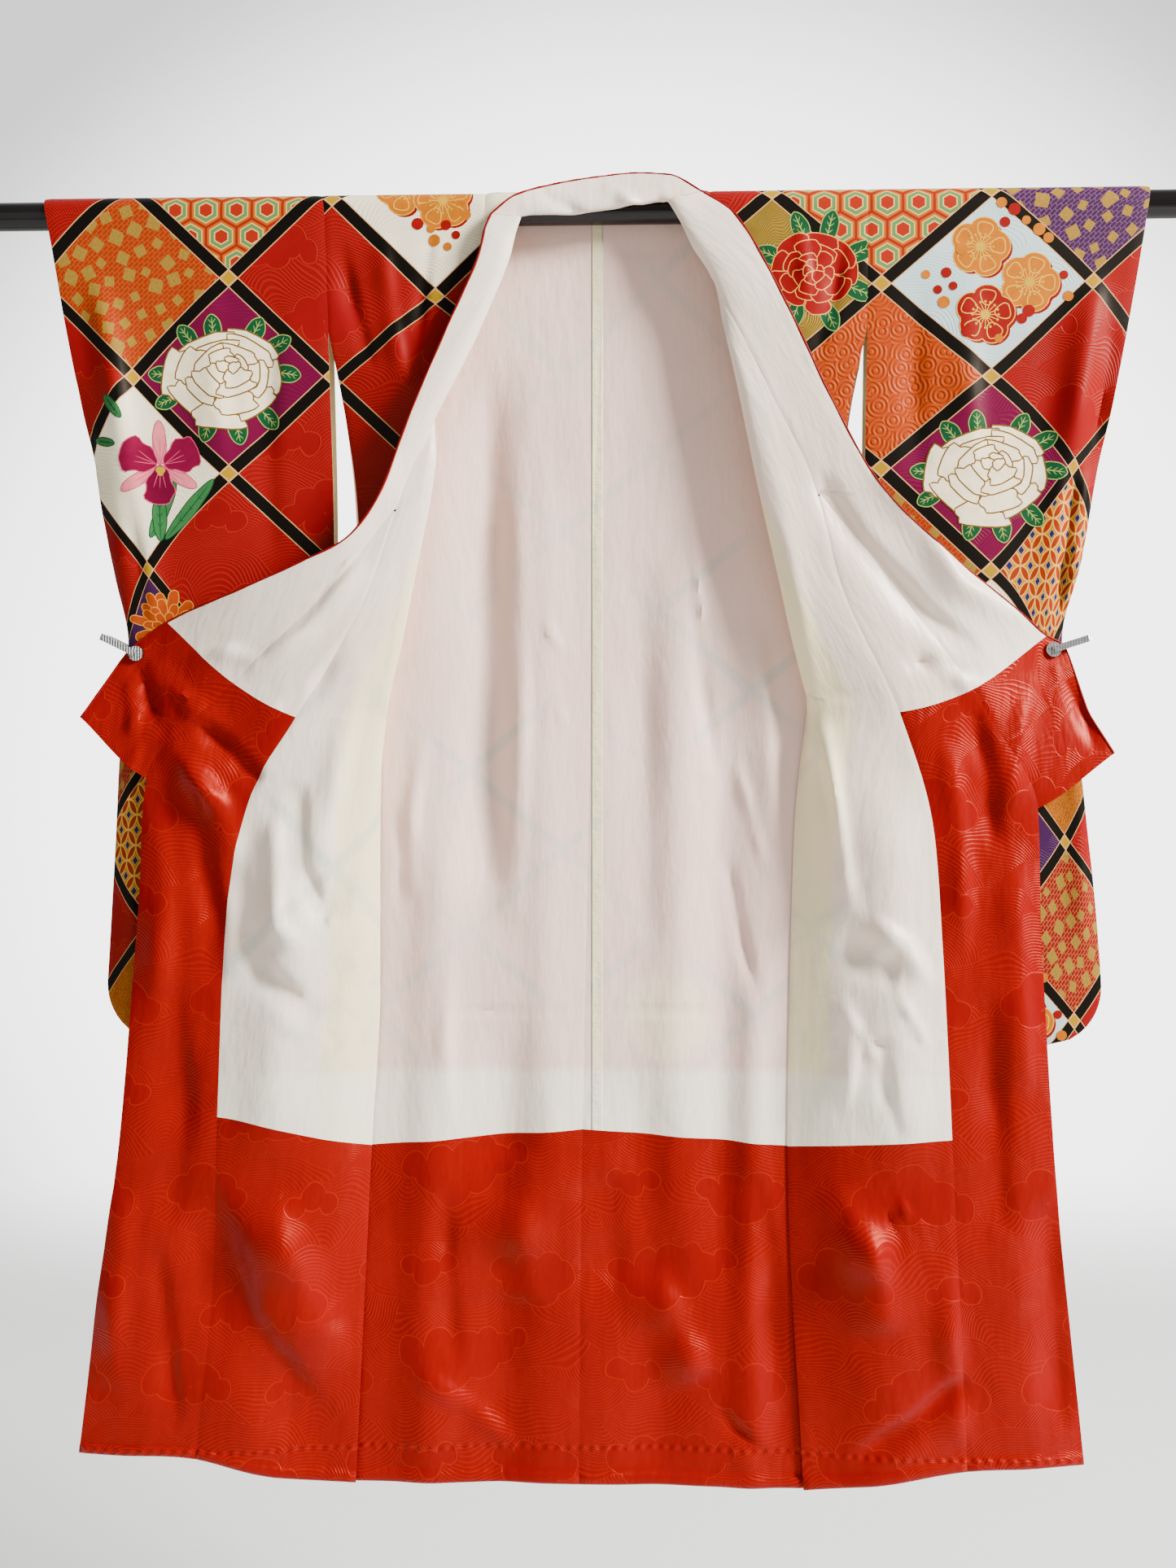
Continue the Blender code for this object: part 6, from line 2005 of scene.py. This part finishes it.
@functools.cache
def painted_silk(paint):
    """Dyed silk of one colour, a little uneven, with the same weave as the cloth under it."""
    g = Graph(f"painted_{paint}")
    x, _, z = g.split(g.scaled(g.place(), 1 / MM))
    flat = g.join(x, z)
    color = uneven(g, flat, SILK_PAINTS[paint], scale=0.07, amount=0.45)
    return silk_finish(g, color, silk_weave(g, flat))


def inside(outline, places):
    """Which places lie inside a closed outline."""
    x, y = places[:, :1], places[:, 1:]
    after = np.roll(outline, -1, axis=0)
    spans = (outline[:, 1] > y) != (after[:, 1] > y)
    rise = after[:, 1] - outline[:, 1]
    slope = (after[:, 0] - outline[:, 0]) / np.where(rise == 0, SMALLEST_LENGTH, rise)
    return np.sum(spans & (x < outline[:, 0] + (y - outline[:, 1]) * slope), axis=1) % 2 == 1


def shown_part(sheet, facing):
    """Which points of a sheet have their outer face to the front (facing -1) or to the back (1)."""
    if not hasattr(sheet, "shares"):
        return np.ones(sheet.points.shape[:2], bool)
    return sheet.shares < FLOWER_SHOWN if facing < 0 else sheet.shares > 1 - FLOWER_SHOWN


class Host:
    """The outer face of a sheet round one flower: its facets, and a tree to find places on them."""

    def __init__(self, sheet, centre, reach, facing):
        outer = sheet.points + sheet.normals * OUTER_SHELL[1]
        flat = outer[..., [0, 2]]
        near = np.max(np.abs(flat - np.array(centre)), axis=-1) < reach + FLOWER_MARGIN
        near &= shown_part(sheet, facing)
        rows, columns = near.shape
        index = np.arange(rows * columns).reshape(rows, columns)
        whole = np.all(corners_of(near), axis=0)
        a, b, c, d = (part[whole] for part in corners_of(index))
        facets = np.concatenate([np.stack([a, b, c], axis=1), np.stack([a, c, d], axis=1)])
        used, facets = np.unique(facets, return_inverse=True)
        self.facets = facets.reshape(-1, 3)
        self.points = outer.reshape(-1, 3)[used]
        self.flat = self.points[:, [0, 2]]
        pairs = np.concatenate([self.facets[:, pair] for pair in ([0, 1], [1, 2], [2, 0])])
        self.edges = np.unique(np.sort(pairs, axis=1), axis=0)
        self.facing = facing
        self.tree = BVHTree.FromPolygons(self.points.tolist(), self.facets.tolist())

    def on_cloth(self, place):
        """The depth of the cloth at a place, or None beside it."""
        start = mathutils.Vector((place[0], self.facing * DEPTH_OUTSIDE, place[1]))
        hit = self.tree.ray_cast(start, mathutils.Vector((0.0, -self.facing, 0.0)))[0]
        return None if hit is None else hit.y

    def drape(self, outline, lift):
        """The facets of one flat shape laid on the cloth, cut along the cloth's own facets."""
        low, high = outline.min(axis=0), outline.max(axis=0)
        first, second = self.flat[self.edges[:, 0]], self.flat[self.edges[:, 1]]
        close = np.all((np.maximum(first, second) > low) & (np.minimum(first, second) < high), axis=1)
        edges = self.edges[close]
        used, edges = np.unique(edges, return_inverse=True)
        edges = edges.reshape(-1, 2)
        count = len(used)
        places = [mathutils.Vector(place) for place in (*self.flat[used], *outline)]
        ring = [(count + i, count + (i + 1) % len(outline)) for i in range(len(outline))]
        lines = [tuple(edge) for edge in edges.tolist()] + ring
        corners, _, parts, *_ = mathutils.geometry.delaunay_2d_cdt(places, lines, [], 0, DELAUNAY_GAP)
        flat = np.array([tuple(corner) for corner in corners])
        faces = np.array([part for part in parts if len(part) == 3], int).reshape(-1, 3)
        faces = faces[inside(outline, flat[faces].mean(axis=1))]
        depths = {i: self.on_cloth(flat[i]) for i in np.unique(faces)}
        kept = [face for face in faces.tolist() if all(depths[i] is not None for i in face)]
        order = {i: k for k, i in enumerate(sorted({i for face in kept for i in face}))}
        points = [(flat[i][0], depths[i] + self.facing * lift, flat[i][1]) for i in order]
        return points, [[order[i] for i in face] for face in kept]


def lay_flower(name, sheet, side, kind, centre, facing):
    """Lays a flower on a sheet's outer face, as seen from the front (facing -1) or the back (1)."""
    shapes = FLOWER_MAKERS[kind](side)
    mirror = np.array([-facing, 1.0])
    outlines = [(outline * mirror + np.array(centre), paint) for outline, paint in shapes]
    reach = max(np.max(np.abs(outline - np.array(centre))) for outline, _ in outlines)
    host = Host(sheet, centre, reach, facing)
    if not len(host.facets):
        return None
    paints = sorted({paint for _, paint in outlines})
    vertices, faces, indices = [], [], []
    for layer, (outline, paint) in enumerate(outlines):
        points, parts = host.drape(outline, FLOWER_LIFT + FLOWER_LAYER * math.sqrt(layer))
        start = len(vertices)
        vertices += points
        faces += [[start + i for i in part] for part in parts]
        indices += [paints.index(paint)] * len(parts)
    if not faces:
        return None
    obj = mesh_object(name, vertices, faces, [painted_silk(paint) for paint in paints])
    obj.data.polygons.foreach_set("material_index", indices)
    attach(obj, "root")
    return obj


def lay_flowers(name, side, sheet, facing):
    """A flower in each cell of the sheet's lattice whose colour asks for one."""
    made = []
    usable = shown_part(sheet, facing)
    if not usable.any():
        return made
    cells = np.floor(sheet.lattice[usable]).astype(int).tolist()
    for first, second in sorted({tuple(cell) for cell in cells}):
        place = FLOWER_PLACES.get((side, (first, second)))
        kind = place.kind if place else FLOWER_IN.get(cell_fill(side, first, second))
        if kind is None:
            continue
        from_middle = sheet.lattice - np.array([first + 0.5, second + 0.5])
        away = np.where(usable, np.linalg.norm(from_middle, axis=-1), np.inf)
        near = away < FLOWER_FIT
        if away.min() > FLOWER_AWAY or near.sum() < FLOWER_FEWEST:
            continue
        known = np.column_stack([from_middle[near], np.ones(near.sum())])
        centre = np.linalg.lstsq(known, sheet.points[near][:, [0, 2]], rcond=None)[0][2]
        if place and facing < 0:
            centre = centre + np.array([place.x, place.y])
        obj = lay_flower(f"{name}_{kind}_{len(made) + 1}", sheet, side, kind, centre, facing)
        if obj:
            made.append(obj)
    return made


# Pieces


def edge_roll(name, sheet):
    """The outer silk's narrow roll along a collar's free edge."""
    inner, rim = sheet.points[:, -2], sheet.points[:, -1]
    out = unit(rim - inner)
    over = np.cross(unit(np.gradient(rim, axis=0)), out)
    turns = np.linspace(0, math.tau, EDGE_SIDES, endpoint=False)
    swell = 1 + EDGE_SWELL * np.sin(np.arange(len(rim)) * EDGE_SWELL_STEP)[:, None, None]
    out_part, over_part = np.cos(turns)[None, :, None], np.sin(turns)[None, :, None]
    ring = out_part * out[:, None, :] + over_part * over[:, None, :]
    middle = rim + out * EDGE_REACH + sheet.normals[:, -1] * EDGE_OFFSET
    points = (middle[:, None, :] + ring * EDGE_RADIUS * swell).reshape(-1, 3)
    index = np.arange(len(points)).reshape(len(rim), EDGE_SIDES)
    after = np.roll(index, -1, axis=1)
    faces = np.stack([index[:-1], index[1:], after[1:], after[:-1]], axis=-1).reshape(-1, 4).tolist()
    faces += [index[0].tolist(), index[-1][::-1].tolist()]
    obj = mesh_object(name, points, faces, [painted_silk("edge")])
    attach(obj, "root")
    return obj


def lattice_places(zone, sheet):
    """The lattice's two coordinates at each point. Whole numbers lie on its lines."""
    lattice = LATTICES[zone]
    downs, numbers = np.array(lattice.rows, float).T
    down = np.abs(sheet.down) if zone == "back" else sheet.down
    row = np.interp(down, downs, numbers)
    row += np.minimum(down - downs[0], 0) / LATTICE_ROW_PITCH
    row += np.maximum(down - downs[-1], 0) / LATTICE_ROW_PITCH
    column = (sheet.across - lattice.origin) / lattice.pitch
    return np.stack([(row + column) / 2, (row - column) / 2], axis=-1)


def cell_fill(side, first, second):
    """What fills a lattice cell, from the table or in a fixed order."""
    known = CELLS[side].get((first, second))
    if known:
        return known
    return CELLS_ELSEWHERE[(CELL_STEPS[0] * first + CELL_STEPS[1] * second) % len(CELLS_ELSEWHERE)]


def outer_shell(name, side, zone, sheet):
    """A shell of the patterned outer silk, each facet with the fill of its lattice cell."""
    sheet.lattice = lattice_places(zone, sheet)
    cells = np.floor(sum(corners_of(sheet.lattice)) / 4).astype(int)
    fills = []
    chosen = np.zeros(cells.shape[:2], int)
    for cell in {tuple(pair) for pair in cells.reshape(-1, 2).tolist()}:
        fill = cell_fill(side, *cell)
        if fill not in fills:
            fills.append(fill)
        chosen[(cells[..., 0] == cell[0]) & (cells[..., 1] == cell[1])] = fills.index(fill)
    finishes = [outer_silk(fill) for fill in fills]
    return shell(f"{name}_silk", sheet, *OUTER_SHELL, "outer_cloth", finishes, chosen)


def flowered(name, side, zone, sheet, facing):
    """A shell of the outer silk and the flowers on it."""
    outer = outer_shell(name, side, zone, sheet)
    return outer, lay_flowers(name, side, sheet, facing)


def lining_shell(name, sheet, zone=None):
    """A shell of the white lining. With a zone, the lattice behind it shows through."""
    if zone:
        sheet.lattice = lattice_places(zone, sheet)
    return shell(f"{name}_silk", sheet, *LINING_SHELL, "white_lining", [white_lining(zone)])


def hem_lining_shell(name, sheet, stations):
    """A shell of the red hem lining, with its padded roll."""
    low, high = hem_offsets(stations)
    return shell(f"{name}_silk", sheet, low, high, "red_lining", [red_lining()])


def body_zone(side):
    """The lattice of the body's cloth on one side."""
    return "body_left" if side == "left" else "right"


def sleeve_zone(side):
    """The lattice of a sleeve's cloth."""
    return "sleeve_left" if side == "left" else "right"


def line_panel(kind, side, panel, start, border, zone=None):
    """The white lining of a panel down to a border, and its red hem lining below that."""
    lining = lining_shell(f"{kind}_lining_{side}", panel(fine_stations(side, start, border)), zone)
    rows = hem_stations(side, border)
    hem = hem_lining_shell(f"{kind}_hem_lining_{side}", panel(rows), rows)


def make_front(side):
    """A front in one length, with flowers on both sides of its rolled fold."""

    def panel(stations):
        return front_sheet(side, stations, "side", "seam", FRONT_COLUMNS)

    sheet = panel(fine_stations(side, 0, OUTER_HEM))
    outer, flowers = flowered(f"front_{side}", side, body_zone(side), sheet, -1)
    flowers += lay_flowers(f"front_{side}_turned", side, sheet, 1)
    line_panel("front", side, panel, 0, WHITE_BORDER, body_zone(side))


def make_okumi(side):
    """The overlap panel beside a front."""

    def panel(stations):
        return front_sheet(side, stations, "seam", "okumi", OKUMI_COLUMNS)

    sheet = panel(fine_stations(side, OKUMI_START, OUTER_HEM))
    outer, flowers = flowered(f"okumi_{side}", side, body_zone(side), sheet, 1)
    line_panel("okumi", side, panel, OKUMI_START, RED_BORDER)


def make_collar(side):
    """One side of the collar."""

    def panel(stations):
        return front_sheet(side, stations, "collar", "free", COLLAR_COLUMNS)

    sheet = panel(fine_stations(side, 0, COLLAR_END))
    outer = outer_shell(f"collar_{side}", side, body_zone(side), sheet)
    edge_roll(f"collar_edge_{side}", sheet)
    lining = lining_shell(f"collar_lining_{side}", panel(fine_stations(side, 0, RED_BORDER)))
    hem_sheet = panel(fine_stations(side, RED_BORDER, COLLAR_END))
    hem = shell(f"collar_hem_lining_{side}_silk", hem_sheet, *LINING_SHELL, "red_lining", [red_lining()])


def make_neck_collar():
    """The collar's length behind the neck."""
    sheet = neck_sheet()
    outer = outer_shell("collar_neck", "left", "body_left", sheet)
    edge_roll("collar_edge_neck", sheet)
    lining = lining_shell("collar_lining_neck", neck_sheet())


def make_back(side):
    """One half of the back. Both halves take their cells from one table."""

    def panel(stations):
        return back_sheet(side, stations)

    sheet = panel(fine_stations(side, 0, OUTER_HEM))
    outer, flowers = flowered(f"back_{side}", "left", "back", sheet, 1)
    line_panel("back", side, panel, 0, WHITE_BORDER, "back")


def make_sleeve(side):
    """A sleeve's front and back layer."""
    for layer, facing in (("front", -1), ("back", 1)):
        sheet = sleeve_sheet(side, facing)
        outer, flowers = flowered(f"sleeve_{layer}_{side}", side, sleeve_zone(side), sheet, facing)
        lining = lining_shell(f"sleeve_lining_{layer}_{side}", sleeve_sheet(side, facing))


def dress(node, finish):
    """Gives a CAD node that stays in view its own material."""
    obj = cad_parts[node]
    obj.data.materials.clear()
    obj.data.materials.append(finish)


# Camera, light and floor


def make_camera():
    """A long lens far away, turned a little to the side as in the photo."""
    data = bpy.data.cameras.new("camera")
    camera = linked("camera", data)
    yaw = math.radians(CAMERA_YAW)
    across = CAMERA_AIM[0] + CAMERA_DISTANCE * math.sin(yaw)
    depth = -CAMERA_DISTANCE * math.cos(yaw)
    camera.location = (across * MM, depth * MM, CAMERA_AIM[1] * MM)
    camera.rotation_euler = (math.pi / 2, 0, yaw)
    data.sensor_width = CAMERA_SENSOR
    data.lens = CAMERA_SENSOR * CAMERA_DISTANCE / (PHOTO_HEIGHT * MM_FOR_EACH_PIXEL)
    data.clip_start, data.clip_end = CAMERA_CLIP
    bpy.context.scene.camera = camera


def make_light(light):
    """A rectangular lamp that looks at the garment's middle."""
    data = bpy.data.lights.new(light.name, "AREA")
    data.shape = "RECTANGLE"
    data.size = light.width
    data.size_y = light.height
    data.energy = light.power
    data.color = light.color
    lamp = linked(light.name, data)
    lamp.location = light.place
    aim = mathutils.Vector(LIGHT_AIM) - mathutils.Vector(light.place)
    lamp.rotation_euler = aim.to_track_quat("-Z", "Y").to_euler()


def make_world():
    """A soft studio: dim before the garment, brighter behind it, and brightest as a wall right behind."""
    world = bpy.data.worlds.new("studio")
    world.use_nodes = True
    nodes, links = world.node_tree.nodes, world.node_tree.links
    background = nodes["Background"]
    background.inputs["Color"].default_value = (*WORLD_COLOR, 1)
    parts = nodes.new("ShaderNodeSeparateXYZ")
    links.new(nodes.new("ShaderNodeTexCoord").outputs["Generated"], parts.inputs[0])
    total = nodes.new("ShaderNodeMath")
    for k, (towards_back, strengths) in enumerate(WORLD_STRENGTHS):
        strength = nodes.new("ShaderNodeMapRange")
        strength.interpolation_type = "SMOOTHSTEP"
        for name, value in zip(("From Min", "From Max", "To Min", "To Max"), (*towards_back, *strengths)):
            strength.inputs[name].default_value = value
        links.new(parts.outputs["Y"], strength.inputs["Value"])
        links.new(strength.outputs[0], total.inputs[k])
    links.new(total.outputs[0], background.inputs["Strength"])
    bpy.context.scene.world = world


def make_floor():
    """A floor under the garment, part of the stage alone."""
    half = FLOOR_SIZE / 2
    corners = [(-half, -half, 0.0), (half, -half, 0.0), (half, half, 0.0), (-half, half, 0.0)]
    mesh = bpy.data.meshes.new("floor")
    mesh.from_pydata(corners, [], [(0, 1, 2, 3)])
    mesh.materials.append(wall_white())
    floor = linked("floor", mesh)
    floor.location = (0.0, 0.0, FLOOR_HEIGHT)


def main():
    """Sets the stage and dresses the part."""
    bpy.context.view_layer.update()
    make_camera()
    make_world()
    for light in LIGHTS:
        make_light(light)
    make_floor()
    dress("rod", lacquer())
    for side in ("left", "right"):
        dress(f"clip_{side}", clip_steel())
        make_back(side)
        make_sleeve(side)
        make_front(side)
        make_okumi(side)
        make_collar(side)
    make_neck_collar()


main()
